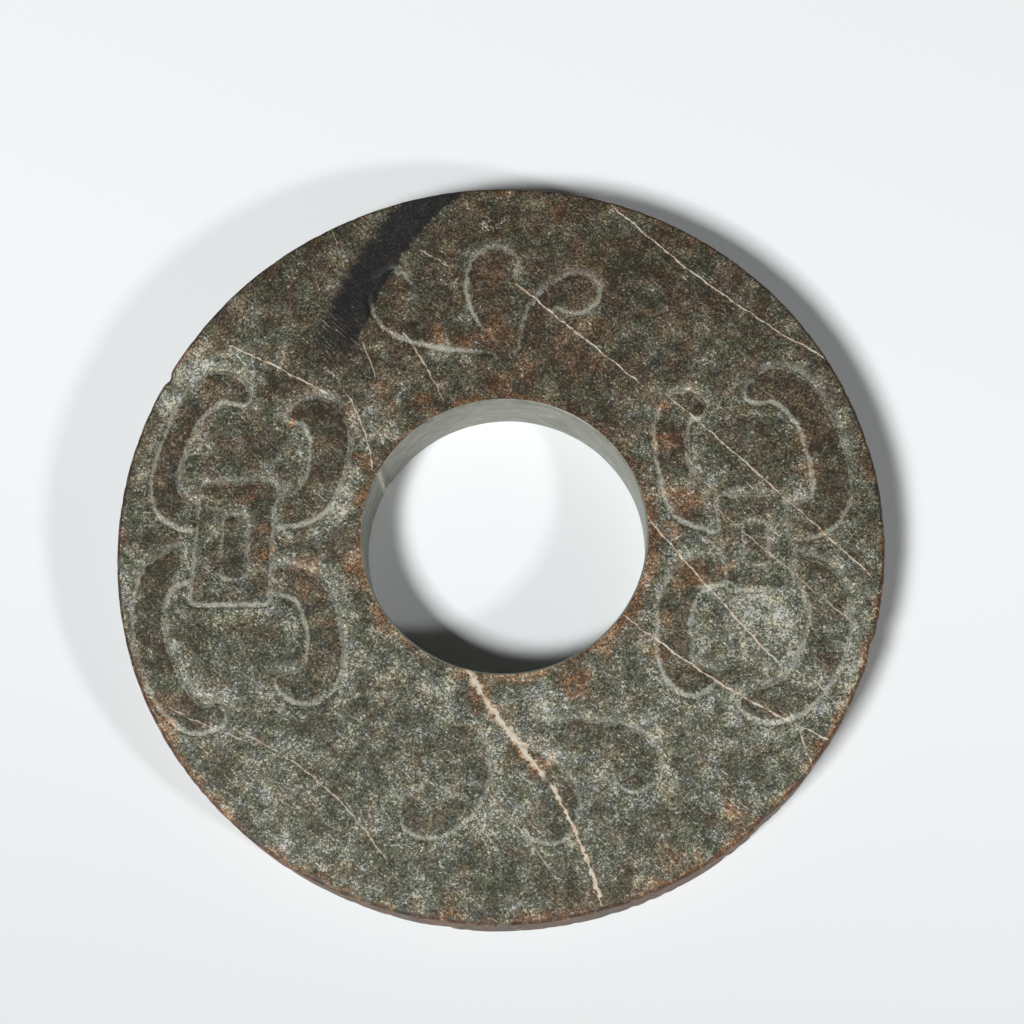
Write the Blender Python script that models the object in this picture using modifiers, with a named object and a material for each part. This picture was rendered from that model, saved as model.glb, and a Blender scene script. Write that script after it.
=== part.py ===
# Jade bi disc
#
# A flat ring of dark green stone with a hand-cut bore, lying on its plain back.
# The upper face is carved in low relief. On each side of the bore a buckle ties four curved horns, and
# above and below the bore there are three curls. Every raised form stays level with the face and is set
# off by a groove, with a steep wall on the form's side and a long slope on the ground's side.
#
# Metres. The origin is under the middle of the rim, +X to the right, +Y to the top of the design, +Z up.

import math

import bmesh
import bpy
import numpy as np

# The ring
OUTER_RADIUS = 0.1000
THICKNESS = 0.0168
BORE_RADIUS = 0.0369
BORE_SHIFT_X = 0.0015
BORE_SHIFT_Y = 0.0002
RIM_ROUNDING = 0.0014
BORE_ROUNDING = 0.0007
RIM_SIDES = 120
BORE_SIDES = 72
ROUNDING_STEPS = 2
SHARP_EDGE = math.radians(40)
WELD_DISTANCE = 0.000001

# The grooves, at full strength
HORN_GROOVE_WIDTH = 0.0032
HORN_GROOVE_DEPTH = 0.0011
BUCKLE_GROOVE_WIDTH = 0.0020
BUCKLE_GROOVE_DEPTH = 0.0009
BAR_GROOVE_WIDTH = 0.0036
BAR_GROOVE_DEPTH = 0.0009
CURL_GROOVE_WIDTH = 0.0030
CURL_GROOVE_DEPTH = 0.0009
WALL_LEAN = 0.30
OVERCUT = 0.35

# The grooves' lines, in hundredths of the ring's radius
LONGEST_STEP = 3.6
SHARPEST_TURN = math.radians(20)
SHARPEST_CORNER = math.radians(95)
CURVE_SAMPLES = 12
TIP_STEPS = 8
STEEPEST_TAPER = 0.9
EDGE_TOLERANCE = 0.01
CORNER_ROUNDING = 0.9
CORNER_STEPS = 3
FADE_LENGTH = 16.0
FADED_STRENGTH = 0.25
ROOT_GAP = 0.8
ROOT_STRENGTH = 0.6

# Strength of the carving in each group, from 1, fresh, to 0, worn away
LEFT_STRENGTH = 1.0
RIGHT_STRENGTH = 0.9
TOP_STRENGTH = 0.95
BOTTOM_STRENGTH = 0.75

# The design is drawn on a ring of these sizes, and place() fits it between the real bore and rim
DESIGN_RADIUS = 100.0
DESIGN_BORE = 36.9

# The two side motifs. A horn's rows run along its middle from the buckle to the tip: x, y, half its width.
# A plate's rows are its corners, anticlockwise: x, y and the strength of the groove there.
LEFT_MOTIF = {
    "strength": LEFT_STRENGTH,
    "buckle": [(-59.2, -18.2, 0.9), (-58.6, 14.8, 0.9), (-78.2, 15.0, 1.0), (-79.8, -18.0, 0.9)],
    "bar": [(-65.6, -11.2, 0.5), (-65.8, 5.6, 0.6), (-71.8, 5.6, 1.0), (-72.0, -11.2, 0.9)],
    "upper_outer_horn": [
        (-77.0, 5.0, 3.1), (-81.0, 5.2, 3.2), (-86.4, 9.0, 3.9), (-88.2, 16.5, 3.4), (-86.2, 25.0, 3.5),
        (-82.9, 34.0, 3.8), (-77.6, 41.0, 4.6), (-72.0, 41.8, 3.9), (-68.8, 39.2, 2.4),
    ],
    "upper_inner_horn": [
        (-60.0, 7.0, 4.2), (-55.0, 7.1, 4.3), (-48.8, 10.0, 4.8), (-45.7, 16.6, 4.7), (-44.6, 24.5, 5.2),
        (-45.8, 31.3, 5.3), (-49.6, 34.8, 4.0), (-54.8, 33.8, 2.0),
    ],
    "lower_outer_horn": [
        (-78.0, -7.2, 4.6), (-82.0, -7.4, 4.7), (-88.0, -10.6, 4.7), (-90.4, -17.5, 4.1), (-90.0, -25.5, 4.0),
        (-87.4, -34.0, 4.1), (-82.6, -43.0, 4.1), (-76.8, -48.2, 3.6), (-71.8, -47.2, 3.1),
    ],
    "lower_inner_horn": [
        (-60.0, -11.8, 3.8), (-55.0, -11.9, 3.8), (-49.2, -14.4, 4.0), (-45.8, -20.5, 4.3),
        (-44.3, -28.5, 4.5), (-44.9, -36.0, 4.9), (-49.2, -39.9, 4.5), (-55.0, -38.6, 2.2),
    ],
}
RIGHT_MOTIF = {
    "strength": RIGHT_STRENGTH,
    "buckle": [(76.0, -15.0, 0.7), (74.4, 10.2, 0.8), (56.6, 10.2, 0.8), (58.8, -15.6, 0.7)],
    "bar": [(69.6, -8.4, 0.55), (69.0, 2.4, 0.5), (63.4, 2.6, 0.5), (63.9, -9.2, 0.55)],
    "upper_inner_horn": [
        (59.0, 5.0, 4.4), (54.5, 5.4, 4.5), (49.2, 8.4, 4.8), (46.7, 14.5, 4.1), (45.4, 22.0, 4.1),
        (45.5, 30.0, 4.3), (48.2, 35.2, 4.3), (52.4, 34.2, 2.6),
    ],
    "upper_outer_horn": [
        (73.0, 2.8, 4.9), (78.0, 2.9, 5.0), (84.2, 5.4, 4.9), (87.0, 12.0, 4.9), (86.1, 20.5, 4.8),
        (83.8, 29.0, 4.6), (79.4, 37.0, 4.9), (73.6, 41.0, 4.8), (68.2, 38.8, 3.2),
    ],
    "lower_inner_horn": [
        (59.5, -9.6, 4.2), (55.0, -9.9, 4.2), (49.4, -12.2, 4.5), (45.8, -18.0, 4.5), (44.8, -25.5, 4.2),
        (45.0, -33.0, 4.3), (48.4, -38.6, 4.2), (53.0, -38.6, 2.4),
    ],
    "lower_outer_horn": [
        (74.0, -9.4, 3.4), (78.0, -9.9, 3.6), (83.0, -14.2, 4.8), (84.8, -21.5, 5.3), (83.6, -29.0, 5.4),
        (80.2, -36.5, 5.2), (75.0, -42.6, 5.0), (68.8, -45.2, 4.7), (64.2, -45.0, 3.5),
    ],
}

# A curl: points along its edge, with the raised form on the left-hand side
TOP_CURLS = {
    "top_curl_left": [
        (-23.8, 66.0), (-24.2, 72.0), (-29.3, 75.4), (-34.4, 70.0), (-33.8, 62.8), (-28.6, 56.9),
        (-20.0, 53.6), (-10.0, 51.7), (-1.0, 51.0),
    ],
    "top_curl_middle": [
        (4.3, 72.4), (4.5, 78.2), (-1.0, 81.8), (-7.2, 78.2), (-8.8, 71.0), (-7.0, 62.8), (-3.2, 57.0),
        (0.0, 54.8),
    ],
    "top_curl_right": [
        (15.2, 64.2), (20.8, 61.9), (26.6, 65.4), (26.0, 71.0), (20.8, 73.6), (14.4, 71.2), (9.2, 65.4),
        (6.0, 57.8), (5.6, 51.5),
    ],
}
BOTTOM_CURLS = {
    "bottom_curl_left": [
        (-18.0, -65.4), (-23.2, -68.2), (-23.8, -75.0), (-18.0, -78.6), (-10.6, -76.2), (-4.6, -70.6),
        (-2.2, -62.8), (-3.4, -54.6), (-5.2, -51.0),
    ],
    "bottom_curl_middle": [
        (10.2, -71.3), (6.2, -73.6), (8.6, -78.8), (15.0, -79.6), (19.6, -74.4), (19.4, -66.2),
        (14.2, -60.0), (7.0, -56.0), (-0.4, -53.4),
    ],
    "bottom_curl_right": [
        (29.0, -60.2), (29.6, -65.0), (34.4, -67.2), (40.2, -63.4), (40.0, -57.2), (35.0, -51.8),
        (26.0, -49.6), (17.0, -48.8), (10.2, -49.4),
    ],
}

# Finish
STONE_COLOUR = (0.085, 0.090, 0.068, 1.0)
STONE_ROUGHNESS = 0.55


def clear_scene():
    """Remove whatever the file opened with."""
    for obj in list(bpy.data.objects):
        bpy.data.objects.remove(obj)


def new_collection(name):
    collection = bpy.data.collections.new(name)
    bpy.context.scene.collection.children.link(collection)
    return collection


def stone_material():
    material = bpy.data.materials.new("green_jade")
    material.use_nodes = True
    shader = material.node_tree.nodes["Principled BSDF"]
    shader.inputs["Base Color"].default_value = STONE_COLOUR
    shader.inputs["Roughness"].default_value = STONE_ROUGHNESS
    shader.inputs["Metallic"].default_value = 0.0
    return material


def smooth_line(rows):
    """A Catmull-Rom curve through the rows, which may carry a width or a strength beside x and y."""
    points = np.array(rows, dtype=float)
    ends = np.vstack([2 * points[0] - points[1], points, 2 * points[-1] - points[-2]])
    curve = []
    for before, start, finish, after in zip(ends, ends[1:], ends[2:], ends[3:]):
        for t in np.linspace(0.0, 1.0, CURVE_SAMPLES, endpoint=False):
            curve.append(0.5 * (
                2 * start
                + (finish - before) * t
                + (2 * before - 5 * start + 4 * finish - after) * t ** 2
                + (3 * start - before - 3 * finish + after) * t ** 3
            ))
    curve.append(points[-1])
    return np.array(curve)


def thinned(line):
    """The same line with only the points that its bends and its longest step need."""
    kept = [0]
    for index in range(1, len(line) - 1):
        start, here, ahead = line[kept[-1], :2], line[index, :2], line[index + 1, :2]
        leaving = line[kept[-1] + 1, :2] - start
        going = ahead - here
        turn = math.atan2(leaving[0] * going[1] - leaving[1] * going[0], leaving @ going)
        if abs(turn) > SHARPEST_TURN or np.linalg.norm(ahead - start) > LONGEST_STEP:
            kept.append(index)
    kept.append(len(line) - 1)
    return line[kept]


def without_reversals(line):
    """Drop the points where the line doubles back on itself, as an offset does inside a tight bend."""
    while True:
        steps = np.diff(line, axis=0)
        steps /= np.linalg.norm(steps, axis=1, keepdims=True)
        reversing = np.sum(steps[1:] * steps[:-1], axis=1) < math.cos(SHARPEST_CORNER)
        if not reversing.any():
            return line
        line = np.delete(line, np.argmax(reversing) + 1, axis=0)


def horn_edge(rows):
    """The edge of a horn: out along its right side, round the tip and back along its left side.

    The edge touches every disc that sits on the horn's middle with the horn's width there.
    """
    middle = smooth_line(rows)
    centres = middle[:, :2]
    radii = middle[:, 2:]
    steps = np.gradient(centres, axis=0)
    lengths = np.linalg.norm(steps, axis=1, keepdims=True)
    ahead = steps / lengths
    left = np.column_stack([-ahead[:, 1], ahead[:, 0]])
    growth = np.clip(np.gradient(radii, axis=0) / lengths, -STEEPEST_TAPER, STEEPEST_TAPER)
    back = -growth * ahead
    aside = np.sqrt(1 - growth ** 2) * left
    heading = math.atan2(ahead[-1, 1], ahead[-1, 0])
    half_turn = math.acos(-growth[-1, 0])
    turns = heading + np.linspace(-half_turn, half_turn, TIP_STEPS + 1)[1:-1]
    tip = centres[-1] + radii[-1] * np.column_stack([np.cos(turns), np.sin(turns)])
    edge = np.vstack([centres + (back - aside) * radii, tip, (centres + (back + aside) * radii)[::-1]])
    clearance = np.linalg.norm(edge[:, None, :] - centres[None, :, :], axis=2) - radii[:, 0]
    return without_reversals(edge[clearance.min(axis=1) > -EDGE_TOLERANCE])


def plate_edge(corners, strength):
    """The edge of a plate with slightly rounded corners, anticlockwise, each point with its strength."""
    edge = []
    for index, corner in enumerate(corners):
        point = np.array(corner[:2])
        before = np.array(corners[index - 1][:2]) - point
        after = np.array(corners[(index + 1) % len(corners)][:2]) - point
        arrive = point + before / np.linalg.norm(before) * CORNER_ROUNDING
        leave = point + after / np.linalg.norm(after) * CORNER_ROUNDING
        for t in np.linspace(0.0, 1.0, CORNER_STEPS):
            rounded = (1 - t) ** 2 * arrive + 2 * t * (1 - t) * point + t ** 2 * leave
            edge.append((rounded[0], rounded[1], corner[2] * strength))
    return np.array(edge)


def outside_plate(corners, points):
    """How far each point lies outside a plate given by its anticlockwise corners."""
    distances = []
    for start, finish in zip(corners, corners[1:] + corners[:1]):
        side = np.array(finish[:2]) - np.array(start[:2])
        outward = np.array([side[1], -side[0]]) / np.linalg.norm(side)
        distances.append((points - np.array(start[:2])) @ outward)
    return np.max(distances, axis=0)


def place(x, y):
    """A point of the design on the real ring, kept at its share of the way from the bore to the rim."""
    radius = math.hypot(x, y)
    share = (radius - DESIGN_BORE) / (DESIGN_RADIUS - DESIGN_BORE)
    real_radius = BORE_RADIUS + share * (OUTER_RADIUS - BORE_RADIUS)
    return x / radius * real_radius, y / radius * real_radius


def groove_section(width, depth, collection):
    """The groove's cross-section: x towards the ground, y up, with the wall's top edge at the origin."""
    floor_x = WALL_LEAN * depth
    above = OVERCUT * depth
    corners = [
        (-OVERCUT * floor_x, above),
        (floor_x, -depth),
        (width + OVERCUT * (width - floor_x), above),
    ]
    data = bpy.data.curves.new("groove_section", "CURVE")
    data.dimensions = "2D"
    spline = data.splines.new("POLY")
    spline.points.add(len(corners) - 1)
    for spline_point, (x, y) in zip(spline.points, corners):
        spline_point.co = (x, y, 0.0, 1.0)
    spline.use_cyclic_u = True
    section = bpy.data.objects.new("groove_section", data)
    section.hide_render = True
    collection.objects.link(section)
    return section


def groove_cutter(name, line, width, depth, closed, collection):
    """Sweep a groove's section along a line of x, y and strength on the face, and make it a mesh."""
    section = groove_section(width, depth, collection)
    data = bpy.data.curves.new(name, "CURVE")
    data.dimensions = "3D"
    data.twist_mode = "Z_UP"
    data.bevel_mode = "OBJECT"
    data.bevel_object = section
    data.use_fill_caps = True
    spline = data.splines.new("POLY")
    spline.points.add(len(line) - 1)
    for spline_point, (x, y, strength) in zip(spline.points, line):
        real_x, real_y = place(x, y)
        spline_point.co = (real_x, real_y, THICKNESS, 1.0)
        spline_point.radius = strength
    spline.use_cyclic_u = closed
    curve = bpy.data.objects.new(name + "_curve", data)
    collection.objects.link(curve)
    graph = bpy.context.evaluated_depsgraph_get()
    mesh = bpy.data.meshes.new_from_object(curve.evaluated_get(graph))
    shape = bmesh.new()
    shape.from_mesh(mesh)
    bmesh.ops.remove_doubles(shape, verts=shape.verts, dist=WELD_DISTANCE)
    bmesh.ops.recalc_face_normals(shape, faces=shape.faces)
    shape.to_mesh(mesh)
    shape.free()
    cutter = bpy.data.objects.new(name + "_groove", mesh)
    cutter.matrix_world = curve.matrix_world
    cutter.hide_render = True
    cutter.display_type = "WIRE"
    bpy.data.objects.remove(curve)
    bpy.data.objects.remove(section)
    collection.objects.link(cutter)


def within_rim(line, width):
    """Weaken a groove where the ground between it and the rim's rounding is narrower than the groove."""
    for row in line:
        room = OUTER_RADIUS - RIM_ROUNDING - math.hypot(*place(row[0], row[1]))
        row[2] = min(row[2], max(room / width, FADED_STRENGTH))
    return line


def cut_horn(name, rows, buckle, strength, collection):
    """A groove round a horn, from the buckle's edge round the tip and back to the buckle."""
    edge = horn_edge(rows)
    edge = thinned(edge[outside_plate(buckle, edge) > ROOT_GAP])
    strengths = np.full(len(edge), strength)
    strengths[[0, -1]] *= ROOT_STRENGTH
    line = within_rim(np.column_stack([edge, strengths]), HORN_GROOVE_WIDTH)
    groove_cutter(name, line, HORN_GROOVE_WIDTH, HORN_GROOVE_DEPTH, False, collection)


def cut_side_motif(side, motif, collection):
    """The buckle with its raised bar, and the four horns that run under it."""
    strength = motif["strength"]
    buckle = motif["buckle"]
    plate = plate_edge(buckle, strength)
    groove_cutter(side + "_buckle", plate, BUCKLE_GROOVE_WIDTH, BUCKLE_GROOVE_DEPTH, True, collection)
    bar = plate_edge(motif["bar"], strength)
    groove_cutter(side + "_bar", bar, BAR_GROOVE_WIDTH, BAR_GROOVE_DEPTH, True, collection)
    for name, rows in motif.items():
        if name.endswith("horn"):
            cut_horn(side + "_" + name, rows, buckle, strength, collection)


def cut_curls(curls, strength, collection):
    """A groove along the edge of each curl, fading out at both ends."""
    for name, points in curls.items():
        edge = thinned(smooth_line(points))
        steps = np.linalg.norm(np.diff(edge, axis=0), axis=1)
        travelled = np.concatenate([[0.0], np.cumsum(steps)])
        to_end = np.minimum(travelled, travelled[-1] - travelled)
        fade = FADED_STRENGTH + (1 - FADED_STRENGTH) * np.clip(to_end / FADE_LENGTH, 0, 1)
        line = np.column_stack([edge, strength * fade])
        groove_cutter(name, line, CURL_GROOVE_WIDTH, CURL_GROOVE_DEPTH, False, collection)


def bore_cutter(collection):
    """A turned spool through the ring, whose flared ends round the bore's two edges."""
    beyond = BORE_ROUNDING
    flare = BORE_RADIUS + BORE_ROUNDING
    angles = np.linspace(0.0, math.pi / 2, ROUNDING_STEPS + 1)
    top_edge = [
        (flare - BORE_ROUNDING * math.sin(angle), THICKNESS - BORE_ROUNDING * (1 - math.cos(angle)))
        for angle in angles
    ]
    bottom_edge = [(radius, THICKNESS - height) for radius, height in reversed(top_edge)]
    profile = [(0.0, THICKNESS + beyond), (flare, THICKNESS + beyond)]
    profile += top_edge + bottom_edge
    profile += [(flare, -beyond), (0.0, -beyond)]
    mesh = bpy.data.meshes.new("bore")
    shape = bmesh.new()
    corners = [shape.verts.new((radius, 0.0, height)) for radius, height in profile]
    for upper, lower in zip(corners, corners[1:]):
        shape.edges.new((upper, lower))
    shape.to_mesh(mesh)
    shape.free()
    cutter = bpy.data.objects.new("bore_spool", mesh)
    cutter.location = (BORE_SHIFT_X, BORE_SHIFT_Y, 0.0)
    cutter.hide_render = True
    cutter.display_type = "WIRE"
    collection.objects.link(cutter)
    turn = cutter.modifiers.new("turn", "SCREW")
    turn.steps = BORE_SIDES
    turn.render_steps = BORE_SIDES
    turn.use_merge_vertices = True
    turn.merge_threshold = WELD_DISTANCE


def disc_blank(collection):
    """The uncarved disc, standing on its back with both rims rounded."""
    shape = bmesh.new()
    bmesh.ops.create_cone(
        shape, cap_ends=True, segments=RIM_SIDES, radius1=OUTER_RADIUS, radius2=OUTER_RADIUS, depth=THICKNESS
    )
    bmesh.ops.translate(shape, verts=shape.verts, vec=(0.0, 0.0, THICKNESS / 2))
    mesh = bpy.data.meshes.new("bi_disc")
    shape.to_mesh(mesh)
    shape.free()
    mesh.shade_smooth()
    mesh.set_sharp_from_angle(angle=SHARP_EDGE)
    mesh.materials.append(stone_material())
    disc = bpy.data.objects.new("bi_disc", mesh)
    collection.objects.link(disc)
    rounding = disc.modifiers.new("rim_rounding", "BEVEL")
    rounding.width = RIM_ROUNDING
    rounding.segments = ROUNDING_STEPS
    rounding.limit_method = "ANGLE"
    rounding.angle_limit = SHARP_EDGE
    return disc


def cut(disc, cutters):
    """Cut every shape of a collection out of the disc."""
    boolean = disc.modifiers.new(cutters.name, "BOOLEAN")
    boolean.operation = "DIFFERENCE"
    boolean.solver = "EXACT"
    boolean.operand_type = "COLLECTION"
    boolean.collection = cutters


def build():
    clear_scene()
    parts = new_collection("jade_bi_disc")
    bore_tools = new_collection("bore_cutters")
    groove_tools = new_collection("groove_cutters")
    disc = disc_blank(parts)
    bore_cutter(bore_tools)
    cut_side_motif("left", LEFT_MOTIF, groove_tools)
    cut_side_motif("right", RIGHT_MOTIF, groove_tools)
    cut_curls(TOP_CURLS, TOP_STRENGTH, groove_tools)
    cut_curls(BOTTOM_CURLS, BOTTOM_STRENGTH, groove_tools)
    cut(disc, bore_tools)
    cut(disc, groove_tools)


build()
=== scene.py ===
# %% [markdown]
# # A carved jade bi disc
#
# The object is a flat ring of dark green stone with low relief on its upper face. It is one piece, so this
# lesson makes one closed mesh and gives it two finishes: weathered stone on the outside and the smoother,
# greyer stone of the bore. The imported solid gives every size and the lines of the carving, so nothing is
# measured twice. We read the solid, lay a dense skin over the same form, and let the shader do the grain.

# %% Load the frame
import math

import bmesh
import bpy
import numpy as np
from mathutils import Matrix, Vector, noise
from mathutils.bvhtree import BVHTree
from mathutils.geometry import delaunay_2d_cdt


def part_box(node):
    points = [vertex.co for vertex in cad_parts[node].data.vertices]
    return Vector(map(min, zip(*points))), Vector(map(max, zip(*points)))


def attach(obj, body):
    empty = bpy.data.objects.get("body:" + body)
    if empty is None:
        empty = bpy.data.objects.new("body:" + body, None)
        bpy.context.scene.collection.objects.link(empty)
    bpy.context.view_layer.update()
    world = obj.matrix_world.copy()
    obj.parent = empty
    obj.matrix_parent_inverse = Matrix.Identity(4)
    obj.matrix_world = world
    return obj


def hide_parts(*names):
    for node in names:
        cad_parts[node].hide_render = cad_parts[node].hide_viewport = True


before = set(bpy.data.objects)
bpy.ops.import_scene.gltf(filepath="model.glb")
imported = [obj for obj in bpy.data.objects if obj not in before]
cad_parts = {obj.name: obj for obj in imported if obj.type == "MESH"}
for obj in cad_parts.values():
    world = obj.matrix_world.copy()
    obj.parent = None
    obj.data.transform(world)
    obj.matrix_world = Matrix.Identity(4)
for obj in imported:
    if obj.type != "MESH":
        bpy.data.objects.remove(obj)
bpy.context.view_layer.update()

# %% [markdown]
# ## The stone blank's sizes
#
# A mason starts from a disc of a known width and thickness with a hole drilled a little off centre. We read
# those sizes off the solid's vertices. All lengths below are in millimetres, which suit hand work better
# than metres, and they become metres only when the mesh is written.

# %% Measure the blank
MM = 0.001
BACK_LEVEL = 0.02
SAME_LEVEL = 0.01
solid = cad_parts["bi_disc"]
lowest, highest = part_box("bi_disc")
TOP = highest.z / MM
RIM_RADIUS = (highest.x - lowest.x) / 2 / MM

corners = np.array([vertex.co for vertex in solid.data.vertices]) / MM
distance_out = np.hypot(corners[:, 0], corners[:, 1])
just_above_back = (corners[:, 2] > BACK_LEVEL) & (corners[:, 2] < TOP / 4)
bore_corners = corners[(distance_out < RIM_RADIUS / 2) & just_above_back]
bore_corners = bore_corners[bore_corners[:, 2] > bore_corners[:, 2].max() - SAME_LEVEL]
BORE_CENTRE = (bore_corners[:, :2].max(axis=0) + bore_corners[:, :2].min(axis=0)) / 2
BORE_RADIUS = np.ptp(bore_corners[:, 0]) / 2
print(f"rim radius {RIM_RADIUS:.1f}, thickness {TOP:.1f}")
print(f"bore radius {BORE_RADIUS:.1f} at {BORE_CENTRE.round(2)}")

# %% [markdown]
# ## The lines of the carving
#
# Each raised form is outlined by a groove: a steep wall drops from the form, and a long slope climbs back to
# the ground. On the solid, the top edge of a wall lies between a level face and a steep one. We collect
# those edges, join them end to end into lines, and note which way the wall faces and how deep it goes.

# %% Join the walls' top edges into lines
LEVEL = 0.99
STEEP = 0.6
SAME_HEIGHT = 0.02
SHORTEST_LINE = 5.0
MERGE_DISTANCE = 0.002


def wall_edges(shape):
    """The edges at the top of a wall, each with the wall's outward direction and its depth."""
    found = {}
    for edge in shape.edges:
        if len(edge.link_faces) != 2 or any(TOP - v.co.z / MM > SAME_HEIGHT for v in edge.verts):
            continue
        wall, level = sorted(edge.link_faces, key=lambda face: face.normal.z)
        if wall.normal.z < STEEP and level.normal.z > LEVEL:
            depth = TOP - min(v.co.z for v in wall.verts) / MM
            found[frozenset(v.index for v in edge.verts)] = (wall.normal.x, wall.normal.y, depth)
    return found


def joined(edges):
    """Lines of vertex numbers, made by walking from edge to edge."""
    beside = {}
    for edge in edges:
        one, other = edge
        beside.setdefault(one, []).append(other)
        beside.setdefault(other, []).append(one)
    ends = [vertex for vertex in beside if len(beside[vertex]) == 1]
    unused = set(edges)
    lines = []
    for start in ends + list(beside):
        line = [start]
        while True:
            onward = [v for v in beside[line[-1]] if frozenset((line[-1], v)) in unused]
            if not onward:
                break
            unused.discard(frozenset((line[-1], onward[0])))
            line.append(onward[0])
        if len(line) > 1:
            lines.append(line)
    return lines


def travelled_along(places):
    """How far along a line each of its places is."""
    steps = np.linalg.norm(np.diff(places, axis=0), axis=1)
    return np.concatenate([[0.0], np.cumsum(steps)])


shape = bmesh.new()
shape.from_mesh(solid.data)
bmesh.ops.remove_doubles(shape, verts=shape.verts, dist=MERGE_DISTANCE * MM)
shape.verts.index_update()
shape.verts.ensure_lookup_table()
walls = wall_edges(shape)
solid_surface = BVHTree.FromBMesh(shape)
raw_lines = []
for numbers in joined(walls):
    places = np.array([shape.verts[n].co[:2] for n in numbers]) / MM
    facts = np.array([walls[frozenset(pair)] for pair in zip(numbers, numbers[1:])])
    if travelled_along(places)[-1] > SHORTEST_LINE:
        raw_lines.append((places, facts, numbers[0] == numbers[-1]))
shape.free()
print(len(raw_lines), "lines of carving on the solid")

# %% [markdown]
# ## A hand-cut line
#
# The solid's lines are made of straight pieces. A carver's line is a smooth curve that trembles a little.
# So each line is cut into very short steps, smoothed by a moving average with a bell-shaped weight, and
# shaken by a slow wave. Sines with fixed phases do for the wave, and give the same line at each run.

# %% Smooth the lines and make them tremble
LINE_STEP = 0.12
LINE_SMOOTHING = 0.8
TREMBLE = 0.13
TREMBLE_LENGTH = 9.0
DEPTH_TREMBLE = 0.10
DEPTH_TREMBLE_LENGTH = 14.0
WAVE_SHARES = (0.5, 0.3, 0.2)
WAVE_QUICKENING = 0.83
WAVE_SHIFT = 1.7
PROBES = np.arange(0.5, 5.0, 0.25)
SHALLOWEST = 0.05
ROWS_TO_PROBE = 20


def bell_smoothed(values, spread, closed):
    """A moving average along a list, with weights shaped like a bell."""
    reach = int(3 * spread)
    weights = np.exp(-0.5 * (np.arange(-reach, reach + 1) / spread) ** 2)
    weights /= weights.sum()
    if closed:
        padded = np.concatenate([values[-reach:], values, values[:reach]])
    else:
        before = 2 * values[0] - values[1:reach + 1][::-1]
        after = 2 * values[-1] - values[-reach - 1:-1][::-1]
        padded = np.concatenate([before, values, after])
    return np.column_stack([np.convolve(column, weights, mode="valid") for column in padded.T])


def slow_wave(travelled, wavelength, seed):
    """A smooth wave between about -1 and 1, different for each seed."""
    wave = np.zeros_like(travelled)
    for part, share in enumerate(WAVE_SHARES):
        turned = travelled / wavelength * math.tau * (1 + WAVE_QUICKENING * part)
        wave += share * np.sin(turned + seed * (WAVE_SHIFT + part))
    return wave


def headings(curve):
    """The direction of a curve at each of its places, with length 1."""
    ahead = np.gradient(curve, axis=0)
    return ahead / np.linalg.norm(ahead, axis=1, keepdims=True)


def probed_width(place, direction):
    """How far the groove reaches from its wall on the solid, found by dropping rays on it."""
    reach = 0.0
    for distance in PROBES:
        x, y = (place + direction * distance) * MM
        hit = solid_surface.ray_cast(Vector((x, y, 1.0)), Vector((0, 0, -1)))[0]
        if hit is None or TOP - hit.z / MM < SHALLOWEST:
            break
        reach = distance
    return reach


def hand_cut(places, facts, closed, seed):
    """The line as rows of x, y, outward x, outward y and depth, with the groove's width."""
    travelled = travelled_along(places)
    count = int(travelled[-1] / LINE_STEP)
    samples = np.linspace(0.0, travelled[-1], count, endpoint=not closed)
    middles = (travelled[1:] + travelled[:-1]) / 2
    table = [np.interp(samples, travelled, places[:, axis]) for axis in (0, 1)]
    table += [np.interp(samples, middles, facts[:, column]) for column in (0, 1, 2)]
    rows = bell_smoothed(np.column_stack(table), LINE_SMOOTHING / LINE_STEP, closed)
    ahead = headings(rows[:, :2])
    outward = np.column_stack([-ahead[:, 1], ahead[:, 0]])
    outward *= np.sign(np.sum(outward * rows[:, 2:4]))
    rows[:, 2:4] = outward
    widths = [probed_width(row[:2], row[2:4]) / row[4] for row in rows[::ROWS_TO_PROBE]]
    rows[:, :2] += outward * (TREMBLE * slow_wave(samples, TREMBLE_LENGTH, seed))[:, None]
    rows[:, 4] *= 1 - DEPTH_TREMBLE + DEPTH_TREMBLE * slow_wave(samples, DEPTH_TREMBLE_LENGTH, seed + 0.5)
    return {"rows": rows, "closed": closed, "width_per_depth": float(np.median(widths))}


lines = [hand_cut(*line, seed) for seed, line in enumerate(raw_lines)]
for line in lines:
    middle = line["rows"][:, :2].mean(axis=0)
    print(f"line near {middle.round(0)}: {len(line['rows']) * LINE_STEP:.0f} long, "
          f"{line['rows'][:, 4].max():.2f} deep, {line['width_per_depth']:.1f} times as wide")

# %% [markdown]
# ## The relief as a height for every point
#
# A groove is easiest to describe across its line: nothing on the form's side but a softly rounded shoulder,
# a quick drop at the wall, then a slope that climbs back. For any point on the face we find the nearest
# place on each line and read the groove's profile there. Where grooves meet, the deepest one wins, which is
# what a chisel does. The same distances tell the shader where the stone is rubbed pale.

# %% Read the depth of the carving at any point
WALL_START = -0.15
WALL_END = 0.45
SLOPE_SHAPE = 1.35
SHOULDER_DROP = 0.10
SHOULDER_WIDTH = 0.6
END_FADE = 2.5
REACH = 9.0
FULL_DEPTH = 1.1
EDGE_RAGGED = 0.5
EDGE_RAGGED_SIZE = 1.8
WORN_BACK = 0.25
LONG_LINE = (40.0, 90.0)
MASK_STEPS = {
    "edge": (-0.6, 0.0, 0.5, 1.2),
    "halo": (-0.4, 0.3, 2.2, 7.5),
    "form": (-7.5, -5.0, -0.6, 0.0),
}
TOP_CURLS = (44.0, 52.0)
TOP_HALO_LOSS = 0.85
TOP_EDGE_GAIN = 0.9
BLOCK = 2000


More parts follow.
